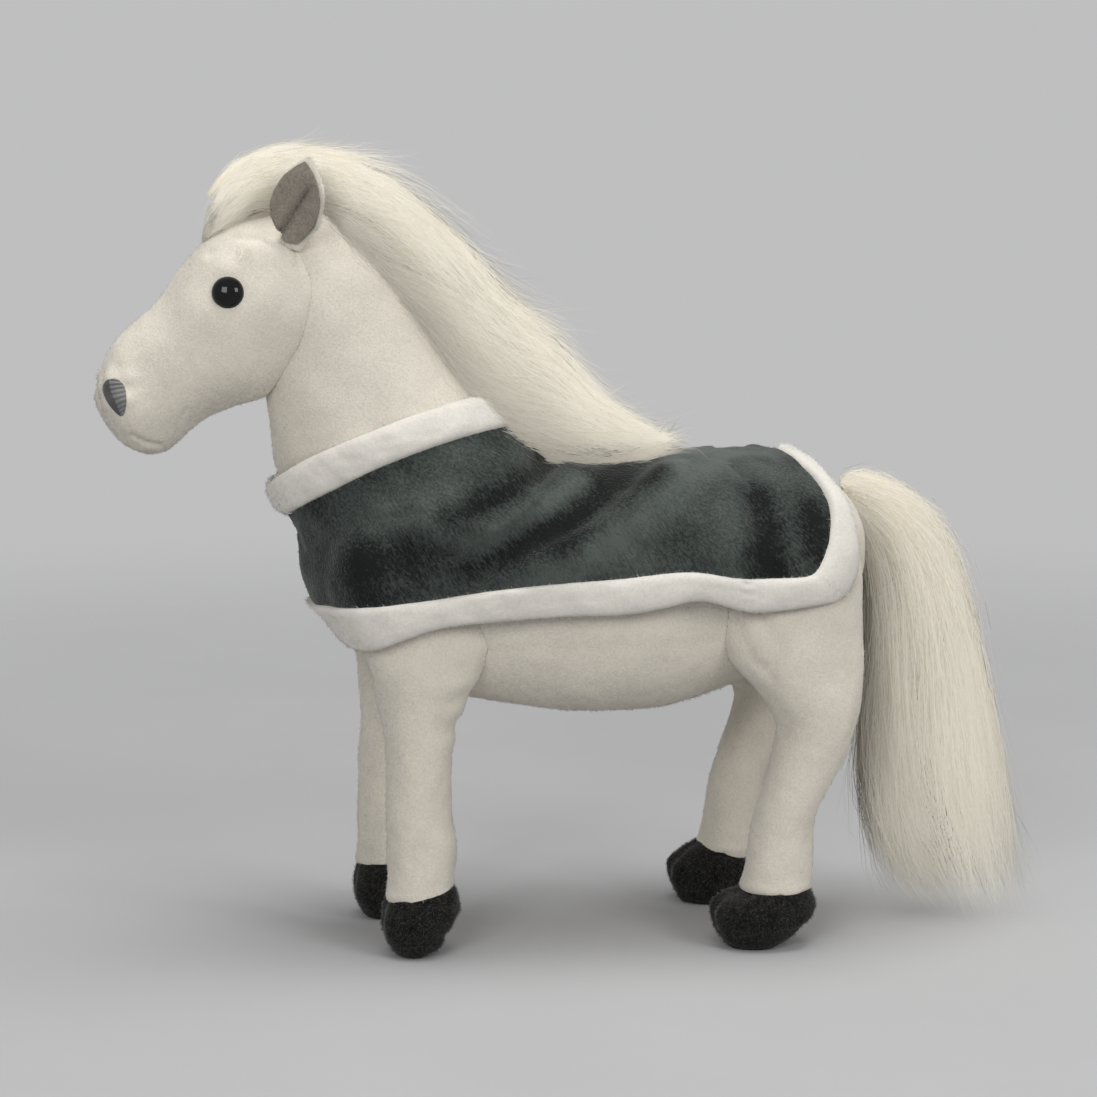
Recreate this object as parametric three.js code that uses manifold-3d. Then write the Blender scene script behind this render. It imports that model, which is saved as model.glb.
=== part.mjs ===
// A stuffed toy horse with a long hair mane and tail, wearing a fleece rug with a white pile border.
// Millimetres, +Z up, nose towards -X, its left side towards -Y, standing on the floor at z = 0.
import * as THREE from "three";
import { mergeVertices } from "three/addons/utils/BufferGeometryUtils.js";
import Module from "manifold-3d";

const wasm = await Module();
wasm.setup();

// Body
const bellyClearance = 108; // floor to the lowest point of the belly
const torsoLength = 264.5;
const torsoDepth = 123;
const torsoWidth = 106;

// Neck and head
const neckLength = 165;
const neckDepth = 100;
const neckWidth = 66;
const neckTilt = 20.5; // degrees forward of upright
const headLength = 110;
const headDepth = 80;
const headWidth = 62;
const headNod = 5.5; // degrees below square to the neck

// Legs, hooves and soles
const legThickness = 33; // front to back at the knee
const legWidth = 34;
const foreLegSpacing = 70; // between the centres of the left and the right leg
const hindLegSpacing = 84;
const foreStep = 8; // how far the right hoof stands ahead of the left one
const hindStep = 6;
const hoofHeight = 27;

// Ears
const earLength = 42;
const earWidth = 25;
const earCup = 6;
const earThickness = 3;
const earPitch = 36; // degrees back from square to the head
const earSplay = 12;
const earTurn = 18;
const liningThickness = 1.2;

// Safety eyes: a domed button on a shank, held inside the head by a pressed-on washer
const eyeDiameter = 15;
const eyeDomeHeight = 6;
const eyeSink = 1.6; // how deep the button's back lies under the plush
const shankDiameter = 4.4;
const shankLength = 10;
const washerDiameter = 13;
const washerThickness = 2;
const washerDepth = 3.5; // from the button's back to the washer

// Embroidered nostrils
const nostrilLength = 18;
const nostrilWidth = 11.5;
const nostrilThickness = 0.9;

// Hair
const maneSpread = 66;
const tailClearance = 4; // from the tip of the tail to the floor
const tailReach = 89;
const tailWidth = 54;

// Rug
const rugGap = 0.6; // between the plush and the cloth
const drapeGap = 1.5; // between the widest part of a leg and the cloth
const clothThickness = 1.6;
const trimThickness = 3;
const trimWidth = 16;
const rearTrimWidth = 13; // in the side view, where the rump turns away
const foldHeight = 4;
const foldWidth = 13;
const shoulderFlare = 13; // how far the cloth stands off the neck where it meets the shoulders
const flareDepth = 34; // how far below the neck border that is
const lapWidth = 22; // how far the left chest end lies over the right one
const lapBlend = 22; // how far back from the lap the left end starts to rise
const tapeWidth = 16;
const tapeLength = 26;
const tapeThickness = 0.9;

// Clearances
const seamGap = 0.3; // between sewn pieces
const weld = 1e-4; // points nearer than this are one
const slack = 0.04; // how far a cut piece's faces may move as its smallest ones are joined
const overrun = 60; // how far a cutter reaches past what it cuts

const white = new THREE.MeshStandardMaterial({ color: 0xe9e5da, roughness: 0.95, metalness: 0 });
const hair = new THREE.MeshStandardMaterial({ color: 0xeceadf, roughness: 0.7, metalness: 0 });
const charcoal = new THREE.MeshStandardMaterial({ color: 0x35342f, roughness: 0.95, metalness: 0 });
const grey = new THREE.MeshStandardMaterial({ color: 0x8b867e, roughness: 0.95, metalness: 0 });
const green = new THREE.MeshStandardMaterial({ color: 0x47534f, roughness: 0.9, metalness: 0 });
const gloss = new THREE.MeshStandardMaterial({ color: 0x0b0b0c, roughness: 0.08, metalness: 0 });
const plastic = new THREE.MeshStandardMaterial({ color: 0xdedede, roughness: 0.5, metalness: 0 });

const radians = THREE.MathUtils.degToRad;
const smooth = THREE.MathUtils.smoothstep;

// A value between two stations of a table, on the smooth curve through the stations before and after.
function between(before, from, to, after, t) {
  const rise = (to - before) / 2;
  const fall = (after - from) / 2;
  const bend = 2 * (from - to) + rise + fall;
  return from + rise * t + (to - from - rise - bend) * t * t + bend * t * t * t;
}

// The stations of a table with steps - 1 more between each pair, each column on its own smooth curve.
function refine(rows, steps) {
  const at = (i) => rows[THREE.MathUtils.clamp(i, 0, rows.length - 1)];
  const fine = [];
  for (let i = 0; i < rows.length - 1; i++)
    for (let k = 0; k < steps; k++)
      fine.push(at(i).map((value, column) =>
        between(at(i - 1)[column], value, at(i + 1)[column], at(i + 2)[column], k / steps)));
  fine.push(at(rows.length - 1));
  return fine;
}

// A closed geometry from rings of points: quads join the rings, and a fan closes each end.
function skinOf(rings) {
  const count = rings[0].length;
  const corners = rings.flat();
  for (const ring of [rings[0], rings.at(-1)])
    corners.push(ring.reduce((sum, p) => sum.add(p), new THREE.Vector3()).divideScalar(count));
  const start = corners.length - 2;
  const last = count * (rings.length - 1);
  const triangles = [];
  for (let j = 0; j < count; j++) {
    const next = (j + 1) % count;
    triangles.push([start, next, j], [start + 1, last + j, last + next]);
    for (let i = 0; i < last; i += count)
      triangles.push([i + j, i + next, i + count + next], [i + j, i + count + next, i + count + j]);
  }
  return tidied(new THREE.BufferGeometry().setFromPoints(corners).setIndex(triangles.flat()));
}

// Welds a geometry's points, drops the triangles that collapse at a pole, and turns its faces outwards.
function tidied(geometry) {
  for (const name of ["normal", "uv"]) geometry.deleteAttribute(name);
  const merged = mergeVertices(geometry, weld);
  const points = merged.attributes.position;
  const [a, b, c] = [new THREE.Vector3(), new THREE.Vector3(), new THREE.Vector3()];
  const kept = [];
  let volume = 0;
  for (let i = 0; i < merged.index.count; i += 3) {
    const corner = [0, 1, 2].map((k) => merged.index.getX(i + k));
    if (new Set(corner).size < 3) continue;
    kept.push(corner);
    [a, b, c].forEach((p, k) => p.fromBufferAttribute(points, corner[k]));
    volume += a.dot(b.cross(c));
  }
  if (volume < 0) kept.forEach((corner) => corner.reverse());
  merged.setIndex(kept.flat());
  merged.computeVertexNormals();
  return merged;
}

// A stuffed form. Each station is the top and the bottom point of a section in the side view, its half
// width, and how far its centre leans outwards, as shares of size. A section is a rounded oval, a crease
// draws its top point in, and a step bends the form forward down to the share that moves whole.
const stillShare = 0.2;
function stuffed(rows, size, { sides, steps = 2, power = 2, side = 1, crease = 0, step = 0 }) {
  const round = (v) => Math.sign(v) * Math.abs(v) ** (2 / power);
  const rings = refine(rows, steps).map(([topX, topZ, lowX, lowZ, half, lean = 0]) => {
    const top = new THREE.Vector3(topX * size.x, 0, topZ * size.z);
    const low = new THREE.Vector3(lowX * size.x, 0, lowZ * size.z);
    const centre = top.clone().lerp(low, 0.5);
    const ahead = step * (1 - smooth(centre.z, stillShare * size.z, size.z));
    centre.add(new THREE.Vector3(-ahead, side * lean * size.y, 0));
    const up = top.clone().sub(low).divideScalar(2);
    return Array.from({ length: sides }, (_, i) => {
      const angle = (2 * Math.PI * i) / sides;
      const drawn = i === 0 ? 1 - crease : 1;
      return centre.clone()
        .addScaledVector(up, round(Math.cos(angle)) * drawn)
        .add(new THREE.Vector3(0, Math.max(half, 0) * size.y * round(Math.sin(angle)), 0));
    });
  });
  return skinOf(rings);
}

// A copy of a closed geometry with each point moved out along its normal, by a distance or a function.
function swollen(geometry, distance) {
  const copy = geometry.clone();
  const points = copy.attributes.position;
  const [point, normal] = [new THREE.Vector3(), new THREE.Vector3()];
  for (let i = 0; i < points.count; i++) {
    point.fromBufferAttribute(points, i);
    normal.fromBufferAttribute(geometry.attributes.normal, i);
    point.addScaledVector(normal, typeof distance === "function" ? distance(point, normal) : distance);
    points.setXYZ(i, point.x, point.y, point.z);
  }
  return copy;
}

// Closed geometry to a solid for joining and cutting, and back. A mirroring matrix turns each face
// round, so its corners are taken in the other order.
function facing(corners, matrix) {
  const turned = Uint32Array.from(corners);
  return matrix.determinant() < 0 ? turned.reverse() : turned;
}
function solidOf(geometry, matrix = new THREE.Matrix4()) {
  const world = geometry.clone().applyMatrix4(matrix);
  return new wasm.Manifold(new wasm.Mesh({
    numProp: 3,
    vertProperties: world.attributes.position.array,
    triVerts: facing(world.index.array, matrix),
  }));
}
function geometryOf(solid, matrix = new THREE.Matrix4()) {
  const { vertProperties, triVerts } = solid.simplify(slack).getMesh();
  const geometry = new THREE.BufferGeometry();
  geometry.setAttribute("position", new THREE.BufferAttribute(vertProperties, 3));
  geometry.setIndex(new THREE.BufferAttribute(facing(triVerts, matrix), 1));
  geometry.applyMatrix4(matrix.clone().invert());
  geometry.computeVertexNormals();
  return geometry;
}

// Scene helpers: a named mesh in a group, its solid in the horse's frame, and the cut by other solids.
const horse = new THREE.Group();
function add(group, name, geometry, material) {
  const mesh = new THREE.Mesh(geometry, material);
  mesh.name = name;
  group.add(mesh);
  return mesh;
}
function worldSolid(mesh, distance = 0) {
  mesh.updateWorldMatrix(true, false);
  return solidOf(swollen(mesh.geometry, distance), mesh.matrixWorld);
}
function cut(mesh, ...cutters) {
  const left = cutters.reduce((solid, cutter) => solid.subtract(cutter), worldSolid(mesh));
  mesh.geometry = geometryOf(left, mesh.matrixWorld);
}

// Torso: [top x, top z, bottom x, bottom z, half width] from the chest to the rump
const torsoShares = [
  [-0.5, 0.62, -0.5, 0.62, 0],
  [-0.487, 0.74, -0.485, 0.5, 0.42],
  [-0.443, 0.845, -0.444, 0.36, 0.7],
  [-0.355, 0.93, -0.395, 0.215, 0.89],
  [-0.226, 0.965, -0.264, 0.098, 0.98],
  [-0.08, 0.967, -0.11, 0.024, 1],
  [0.05, 0.97, 0.03, 0, 1],
  [0.18, 0.985, 0.175, 0.05, 0.98],
  [0.307, 1, 0.296, 0.146, 0.94],
  [0.415, 0.965, 0.41, 0.268, 0.81],
  [0.478, 0.835, 0.474, 0.423, 0.51],
  [0.5, 0.618, 0.5, 0.618, 0],
];
const torsoSize = { x: torsoLength, y: torsoWidth / 2, z: torsoDepth };
const torso = add(horse, "torso", stuffed(torsoShares, torsoSize, { sides: 20, power: 2.2 }), white);
torso.position.z = bellyClearance;
// Neck: its own upright axis leans forward, and its sections run from the crest to the throat
const neckShares = [
  [-0.03, 1.03, -0.03, 1.03, 0],
  [0.133, 1.012, -0.196, 0.963, 0.5],
  [0.256, 0.9, -0.333, 0.794, 0.68],
  [0.371, 0.757, -0.401, 0.647, 0.82],
  [0.452, 0.577, -0.469, 0.494, 0.97],
  [0.525, 0.418, -0.52, 0.372, 1.12],
  [0.6, 0.265, -0.486, 0.235, 1.27],
  [0.66, 0.09, -0.43, 0.08, 1.33],
  [0.48, -0.02, -0.3, -0.06, 1.03],
  [0.05, -0.09, 0.05, -0.09, 0],
];
const neckRootShares = { x: -0.309, z: 0.667 }; // of the torso
const neckGroup = new THREE.Group();
horse.add(neckGroup);
neckGroup.position.set(
  neckRootShares.x * torsoLength, 0, bellyClearance + neckRootShares.z * torsoDepth);
neckGroup.rotation.y = -radians(neckTilt);
const neckSize = { x: neckDepth, y: neckWidth / 2, z: neckLength };
const neck = add(neckGroup, "neck", stuffed(neckShares, neckSize, { sides: 18 }), white);

// Head: from the poll and the cheek to the nose, with the forehead as the top and the jaw as the bottom
const headShares = [
  [0.175, 0.1, 0.175, 0.1, 0],
  [0.18, 0.36, 0.055, -0.14, 0.62],
  [0.115, 0.544, -0.1, -0.28, 0.89],
  [-0.009, 0.66, -0.285, -0.328, 0.98],
  [-0.171, 0.657, -0.431, -0.302, 1],
  [-0.333, 0.571, -0.547, -0.287, 0.95],
  [-0.485, 0.457, -0.648, -0.316, 0.85],
  [-0.629, 0.394, -0.762, -0.351, 0.77],
  [-0.755, 0.339, -0.843, -0.325, 0.77],
  [-0.847, 0.248, -0.907, -0.219, 0.68],
  [-0.904, 0.161, -0.934, -0.097, 0.44],
  [-0.938, 0.052, -0.938, 0.052, 0],
];
const headRootShares = { x: -0.158, z: 0.748 }; // of the neck
const headGroup = new THREE.Group();
neckGroup.add(headGroup);
headGroup.position.set(headRootShares.x * neckDepth, 0, headRootShares.z * neckLength);
headGroup.rotation.y = -radians(headNod);
const headSize = { x: headLength, y: headWidth / 2, z: headDepth };
const head = add(headGroup, "head", stuffed(headShares, headSize, { sides: 18 }), white);

// The muzzle's skin and the face of embroidery on it, taken before the eyes are set in
head.updateWorldMatrix(true, false);
const nostrilSkin = {
  inner: worldSolid(head, seamGap),
  outer: worldSolid(head, seamGap + nostrilThickness),
};

// Where a line into the head meets its skin: the point and the outward normal, in the head's frame
function onHead(from, towards) {
  head.updateWorldMatrix(true, false);
  const start = from.clone().applyMatrix4(head.matrixWorld);
  const ray = new THREE.Raycaster(start, towards.clone().transformDirection(head.matrixWorld));
  const [hit] = ray.intersectObject(head);
  return { point: head.worldToLocal(hit.point.clone()), normal: hit.face.normal.clone() };
}

// Legs: [front x, front z, rear x, rear z, half width, outward lean] from the shoulder or hip down
const foreLegShares = [
  [0.15, 1, 0.15, 1, 0, 0.06],
  [-0.515, 0.958, 0.758, 0.958, 0.59, 0.29],
  [-0.74, 0.865, 1.09, 0.865, 0.88, 0.26],
  [-0.78, 0.766, 1.09, 0.776, 1.03, 0.18],
  [-0.606, 0.667, 0.788, 0.667, 1.09, 0.09],
  [-0.5, 0.573, 0.545, 0.583, 1.03, 0.03],
  [-0.464, 0.458, 0.455, 0.458, 0.97, 0],
  [-0.455, 0.344, 0.47, 0.344, 0.94, 0],
  [-0.455, 0.25, 0.545, 0.255, 0.95, 0],
];
const hindLegShares = [
  [0.21, 1, 0.21, 1, 0, -0.18],
  [-0.576, 0.962, 0.939, 0.952, 0.71, -0.12],
  [-0.97, 0.865, 1.182, 0.865, 1.03, -0.12],
  [-0.97, 0.769, 1.212, 0.769, 1.18, -0.09],
  [-0.818, 0.688, 1.227, 0.673, 1.26, -0.06],
  [-0.364, 0.601, 1.197, 0.601, 1.24, 0],
  [-0.03, 0.519, 1.152, 0.529, 1.15, 0],
  [-0.076, 0.452, 0.985, 0.447, 1.03, 0],
  [-0.212, 0.375, 0.712, 0.365, 0.94, 0],
  [-0.333, 0.298, 0.524, 0.298, 0.91, 0],
  [-0.439, 0.216, 0.515, 0.216, 0.91, 0],
];
// Hoof walls from the leg's seam down to the sole's seam, and soles from there to the flat they stand on
const foreHoofShares = [
  [-0.46, 1.01, 0.51, 1.21, 0.97, 0],
  [-0.53, 0.74, 0.57, 0.96, 1.13, 0],
  [-0.545, 0.45, 0.53, 0.66, 1.15, 0],
  [-0.47, 0.22, 0.37, 0.33, 1.02, 0],
];
const foreSoleShares = [
  [-0.41, 0.08, 0.27, 0.13, 0.9, 0],
  [-0.31, 0, 0.12, 0, 0.65, 0],
];
const hindHoofShares = [
  [-0.54, 0.97, 0.46, 1.02, 0.94, 0],
  [-0.93, 0.76, 0.54, 0.76, 1.21, 0],
  [-0.99, 0.49, 0.49, 0.52, 1.24, 0],
  [-0.94, 0.29, 0.34, 0.39, 1.12, 0],
];
const hindSoleShares = [
  [-0.86, 0.1, 0.17, 0.15, 1, 0],
  [-0.74, 0, -0.02, 0, 0.76, 0],
];
const toeCreaseShare = 0.1;
const shoulderShare = 1.27; // the widest reach of a leg outside its centre line, of half its width
const thighShare = 1.2;
const legKinds = [ // x is the share of the torso length, and topShare of its depth
  { kind: "fore", x: -0.3355, spacing: foreLegSpacing, step: foreStep, tiltShare: 0, topShare: 0.683,
    leg: foreLegShares, hoof: foreHoofShares, sole: foreSoleShares },
  { kind: "hind", x: 0.3147, spacing: hindLegSpacing, step: hindStep, tiltShare: 0.26, topShare: 0.813,
    leg: hindLegShares, hoof: hindHoofShares, sole: hindSoleShares },
];
const lowered = ([frontX, frontZ, rearX, rearZ, ...rest], down, scale = 1) =>
  [frontX, (frontZ - down) * scale, rearX, (rearZ - down) * scale, ...rest];
const legs = [];
for (const { kind, x, spacing, step, tiltShare, topShare, leg, hoof: level, sole } of legKinds)
  for (const [name, side] of [["left", -1], ["right", 1]]) {
    const group = new THREE.Group();
    horse.add(group);
    group.position.set(x * torsoLength, (side * spacing) / 2, 0);
    const height = bellyClearance + topShare * torsoDepth;
    const seam = seamGap / hoofHeight;
    const ahead = side > 0 ? step : 0;
    const tilt = side > 0 ? tiltShare : 0; // the right hind hoof's seam slopes down to the heel
    const hoof = [level[0].with(1, level[0][1] + tilt / 2).with(3, level[0][3] - tilt), ...level.slice(1)];
    const cuff = lowered(hoof[0], -seam, hoofHeight / height);
    const legSize = { x: legThickness, y: legWidth / 2, z: height };
    legs.push(add(group, `${name}_${kind}_leg`,
      stuffed([...leg, cuff], legSize, { sides: 12, side, step: ahead }), white));
    const foot = new THREE.Group();
    group.add(foot);
    foot.position.x = -ahead;
    const hoofSize = { ...legSize, z: hoofHeight };
    const form = { sides: 12, power: 2.3, crease: toeCreaseShare };
    add(foot, `${name}_${kind}_hoof`, stuffed(hoof, hoofSize, form), charcoal);
    add(foot, `${name}_${kind}_sole`,
      stuffed([lowered(hoof.at(-1), seam), ...sole], hoofSize, { ...form, steps: 1 }), charcoal);
  }

// Ears: a padded leaf, cupped round a grey lining. Stations are [height, half width] shares.
const earShares = [[-0.06, 0.3], [0.1, 0.62], [0.3, 0.94], [0.5, 1], [0.7, 0.82], [0.88, 0.42], [1, 0]];
const liningShares = [[0.02, 0.26], [0.12, 0.5], [0.3, 0.78], [0.5, 0.84], [0.7, 0.66], [0.85, 0.32], [0.93, 0]];
// near and far are the distances of the leaf's two faces from the bottom of the cup
function leaf(rows, near, far, sides) {
  const rings = refine(rows, 2).map(([height, half]) =>
    Array.from({ length: sides }, (_, i) => {
      const angle = (2 * Math.PI * i) / sides;
      const across = Math.max(half, 0) * Math.cos(angle);
      const plump = Math.sin(angle) * Math.min(1, Math.max(half, 0) * 2);
      const depth = -earCup * across * across + (near + far) / 2 + ((far - near) / 2) * plump;
      return new THREE.Vector3((across * earWidth) / 2, depth, height * earLength);
    }));
  return skinOf(rings);
}
const earRootShares = { x: 0.105, y: 0.36, z: 0.41 };
const ears = [];
const linings = [];
for (const [name, side] of [["left", -1], ["right", 1]]) {
  const base = new THREE.Vector3(
    earRootShares.x * headLength, side * earRootShares.y * headWidth, earRootShares.z * headDepth);
  const group = new THREE.Group();
  headGroup.add(group);
  group.position.copy(base);
  group.rotation.set(-side * radians(earSplay), radians(earPitch), side * radians(earTurn), "YXZ");
  group.scale.y = -side;
  ears.push(add(group, `${name}_ear`, leaf(earShares, 0, earThickness, 12), white));
  linings.push(add(group, `${name}_ear_lining`,
    leaf(liningShares, -seamGap - liningThickness, -seamGap, 8), grey));
}

// Eyes, turned on the line square to the head's skin
const eyeShares = { x: -0.229, z: 0.337 };
const eyeSides = 12;
const turned = (profile) =>
  tidied(new THREE.LatheGeometry(profile.map(([r, h]) => new THREE.Vector2(r, h)), eyeSides));
// The button's dome is a flat-backed cap: [radius, height] shares of half the diameter and of the height
const domeShares = [[1, 0], [1, 0.14], [0.94, 0.42], [0.78, 0.7], [0.5, 0.91], [0.2, 0.99]];
function eyeProfile(grow) {
  const shank = shankDiameter / 2 + grow;
  return [
    [0, -shankLength - grow],
    [shank, -shankLength - grow],
    [shank, -grow],
    ...domeShares.map(([r, h]) => [(r * eyeDiameter) / 2 + grow, h * eyeDomeHeight + (h ? grow : -grow)]),
    [0, eyeDomeHeight + grow],
  ];
}
function washerProfile(grow) {
  const [inner, outer] = [shankDiameter / 2 + seamGap - grow, washerDiameter / 2 + grow];
  const [top, low] = [-washerDepth + grow, -washerDepth - washerThickness - grow];
  return [[inner, low], [outer, low], [outer, top], [inner, top], [inner, low]];
}
for (const [name, side] of [["left", -1], ["right", 1]]) {
  const aim = new THREE.Vector3(eyeShares.x * headLength, side * headWidth, eyeShares.z * headDepth);
  const { point, normal } = onHead(aim, new THREE.Vector3(0, -side, 0));
  const group = new THREE.Group();
  headGroup.add(group);
  group.position.copy(point).addScaledVector(normal, -eyeSink);
  group.quaternion.setFromUnitVectors(new THREE.Vector3(0, 1, 0), normal);
  add(group, `${name}_eye`, turned(eyeProfile(0)), gloss);
  add(group, `${name}_eye_washer`, turned(washerProfile(0)), plastic);
  group.updateWorldMatrix(true, true);
  const pocket = solidOf(turned(eyeProfile(seamGap)), group.matrixWorld)
    .add(solidOf(turned(washerProfile(seamGap)), group.matrixWorld));
  cut(head, pocket);
}

// The forms as solids with a sewing gap round them, taken before anything is cut
horse.updateMatrixWorld(true);
const round = { torso: worldSolid(torso, seamGap), neck: worldSolid(neck, seamGap), head: nostrilSkin.inner };
const neckSkin = neck.geometry.clone().applyMatrix4(neck.matrixWorld);

// Side-view outlines: a curve through points given as shares of the torso, and slabs cut along it
const torsoPlace = ([x, z]) => new THREE.Vector2(x * torsoLength, bellyClearance + z * torsoDepth);
const lineThrough = (shares, count) => new THREE.SplineCurve(shares.map(torsoPlace)).getSpacedPoints(count);
const slabWidth = 2 * (hindLegSpacing + overrun);
function slab(points) {
  const options = { depth: slabWidth, bevelEnabled: false };
  const geometry = new THREE.ExtrudeGeometry(new THREE.Shape(points), options);
  return solidOf(tidied(geometry.translate(0, 0, -slabWidth / 2).rotateX(Math.PI / 2)));
}
// The points of a line moved to its left by a distance
function beside(points, distance) {
  return points.map((point, i) => {
    const before = points[Math.max(i - 1, 0)];
    const after = points[Math.min(i + 1, points.length - 1)];
    const along = after.clone().sub(before).normalize();
    return new THREE.Vector2(point.x - along.y * distance, point.y + along.x * distance);
  });
}
const strip = (points, from, to) => slab([...beside(points, from), ...beside(points, to).reverse()]);
function block(low, high) {
  const size = high.clone().sub(low);
  const geometry = new THREE.BoxGeometry(size.x, size.y, size.z);
  return solidOf(tidied(geometry.translate(...low.clone().add(high).divideScalar(2))));
}

// Rug: the inner face of the cloth over the torso, with the thighs and shoulders under it
const rugShares = [
  [-0.503, 0.618, -0.503, 0.618, 0],
  [-0.49, 0.74, -0.489, 0.488, 0.49],
  [-0.453, 0.85, -0.455, 0.3, 0.78],
  [-0.395, 0.93, -0.425, 0.15, 0.89],
  [-0.298, 0.974, -0.358, -0.016, 0.92],
  [-0.173, 0.98, -0.233, -0.08, 0.925],
  [-0.026, 0.98, -0.063, -0.106, 0.925],
  [0.107, 0.99, 0.088, -0.106, 0.94],
  [0.24, 1.012, 0.24, -0.08, 0.99],
  [0.341, 1.028, 0.364, -0.033, 0.96],
  [0.415, 1, 0.42, 0.1, 0.87],
  [0.466, 0.91, 0.465, 0.24, 0.7],
  [0.496, 0.775, 0.495, 0.4, 0.44],
  [0.51, 0.6, 0.51, 0.6, 0],
];
const rugHalfWidth = drapeGap + Math.max(
  torsoWidth / 2,
  foreLegSpacing / 2 + (shoulderShare * legWidth) / 2,
  hindLegSpacing / 2 + (thighShare * legWidth) / 2,
);
const rugSize = { x: torsoLength, y: rugHalfWidth, z: torsoDepth };
const rugSkin = stuffed(rugShares, rugSize, { sides: 24, power: 2.4 }).translate(0, 0, bellyClearance);

// The rug's edges, front to rear and then up, where the border is sewn on
const neckLine = lineThrough([
  [-0.64, 0.64], [-0.545, 0.795], [-0.48, 0.9], [-0.417, 0.995], [-0.332, 1.057], [-0.241, 1.098],
  [-0.162, 1.122], [-0.063, 1.13],
], 12);
const hemLine = lineThrough([
  [-0.593, 0.36], [-0.504, 0.436], [-0.407, 0.495], [-0.32, 0.52], [-0.2, 0.553], [-0.094, 0.577],
  [0.012, 0.593], [0.137, 0.61], [0.247, 0.585], [0.352, 0.593],
], 14);
const rearLine = lineThrough([
  [0.352, 0.593], [0.374, 0.667], [0.389, 0.772], [0.395, 0.862], [0.388, 0.951], [0.368, 1.016],
  [0.356, 1.073], [0.356, 1.25],
], 10);

// Folds: soft ridges along lines of the side view, each from one point to another, on both sides alike
const foldShares = [
  [[0.12, 0.98], [-0.17, 0.64]],
  [[-0.04, 0.99], [-0.32, 0.77]],
  [[0.27, 0.95], [0.26, 0.62]],
  [[-0.42, 0.8], [-0.4, 0.5]],
];
function drape(point) {
  const place = new THREE.Vector2(point.x, point.z);
  const heights = foldShares.map(([from, to]) => {
    const ridge = new THREE.Line3(
      new THREE.Vector3(...torsoPlace(from), 0), new THREE.Vector3(...torsoPlace(to), 0));
    const nearest = ridge.closestPointToPoint(new THREE.Vector3(...place, 0), true, new THREE.Vector3());
    return foldHeight * Math.exp(-((nearest.distanceTo(new THREE.Vector3(...place, 0)) / foldWidth) ** 2));
  });
  return Math.max(...heights) * smooth(Math.abs(point.y), 0, rugHalfWidth);
}

// The cloth leaves the sides of the neck below its border and runs straight to the shoulders
function flare(point, normal) {
  const along = THREE.MathUtils.clamp(point.x, neckLine[0].x, neckLine.at(-1).x);
  const after = Math.max(neckLine.findIndex((p) => p.x >= along), 1);
  const [from, to] = [neckLine[after - 1], neckLine[after]];
  const edge = THREE.MathUtils.mapLinear(along, from.x, to.x, from.y, to.y);
  return shoulderFlare * Math.abs(normal.y) * smooth(edge - point.z, 0, flareDepth);
}

// The left chest end rises off the right one far enough to leave room for the border or the two tapes
const lapRise = Math.max(clothThickness + 2 * tapeThickness + 4 * seamGap, trimThickness + 3 * seamGap);
const lapShares = { back: -0.404, front: -0.44 }; // where the left end starts to rise and is fully risen
const lapBack = lapShares.back * torsoLength;
const lapFront = lapShares.front * torsoLength;
function risen(geometry) {
  const copy = geometry.clone();
  const points = copy.attributes.position;
  for (let i = 0; i < points.count; i++) {
    const [x, y] = [points.getX(i), points.getY(i)];
    const across = smooth(y, -lapWidth / 2 - lapBlend, -lapWidth / 2 - seamGap);
    points.setX(i, x - lapRise * across * (1 - smooth(x, lapFront, lapBack)));
  }
  return copy;
}
const outerFace = (distance) => [
  swollen(rugSkin, (point) => distance + drape(point)),
  swollen(neckSkin, (point, normal) => rugGap + distance + flare(point, normal)),
];
const joined = (geometries) => geometries.map((g) => solidOf(g)).reduce((a, b) => a.add(b));
const flatLayer = (thickness) => joined(outerFace(thickness)).subtract(joined(outerFace(0)));
const risenLayer = (thickness) =>
  joined(outerFace(thickness).map(risen)).subtract(joined(outerFace(0).map(risen)));
const reach = torsoLength + overrun;
const chest = (fromY, toY) =>
  block(new THREE.Vector3(-reach, fromY, -overrun), new THREE.Vector3(lapBack, toY, reach));
const half = (fromY, toY) =>
  block(new THREE.Vector3(-reach, fromY, -overrun), new THREE.Vector3(reach, toY, reach));
// A layer that goes all the way round, with its left chest end over its right one
function lapped(thickness, region) {
  const under = flatLayer(thickness).intersect(region).subtract(chest(-reach, -lapWidth / 2));
  const over = risenLayer(thickness).intersect(region).intersect(chest(-reach, lapWidth / 2));
  return under.add(over);
}
const rugTop = bellyClearance + torsoDepth + overrun;
const rugRegion = slab([
  ...hemLine,
  ...rearLine.slice(1),
  new THREE.Vector2(rearLine.at(-1).x, rugTop),
  new THREE.Vector2(neckLine.at(-1).x, rugTop),
  ...[...neckLine].reverse(),
]);
const rug = new THREE.Group();
horse.add(rug);
add(rug, "rug", geometryOf(lapped(clothThickness, rugRegion)), green);
add(rug, "neck_border", geometryOf(lapped(trimThickness, strip(neckLine, seamGap, trimWidth))), white);
const behind = slab([
  new THREE.Vector2(rearLine[0].x, -overrun), ...rearLine, new THREE.Vector2(reach, rugTop),
  new THREE.Vector2(reach, -overrun),
]);
const hemRegion = strip(hemLine, -seamGap, -trimWidth).subtract(behind);
add(rug, "left_hem_border", geometryOf(risenLayer(trimThickness).intersect(hemRegion)
  .intersect(half(-reach, 0).add(chest(-reach, lapWidth / 2)))), white);
add(rug, "right_hem_border", geometryOf(flatLayer(trimThickness).intersect(hemRegion)
  .intersect(half(0, reach).add(chest(-lapWidth / 2, reach)))), white);
const rearCorner = new THREE.Vector2(rearLine[0].x, rearLine[0].y - trimWidth);
add(rug, "rear_border", geometryOf(flatLayer(trimThickness)
  .intersect(strip([rearCorner, ...rearLine], -seamGap, -rearTrimWidth))), white);

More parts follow.
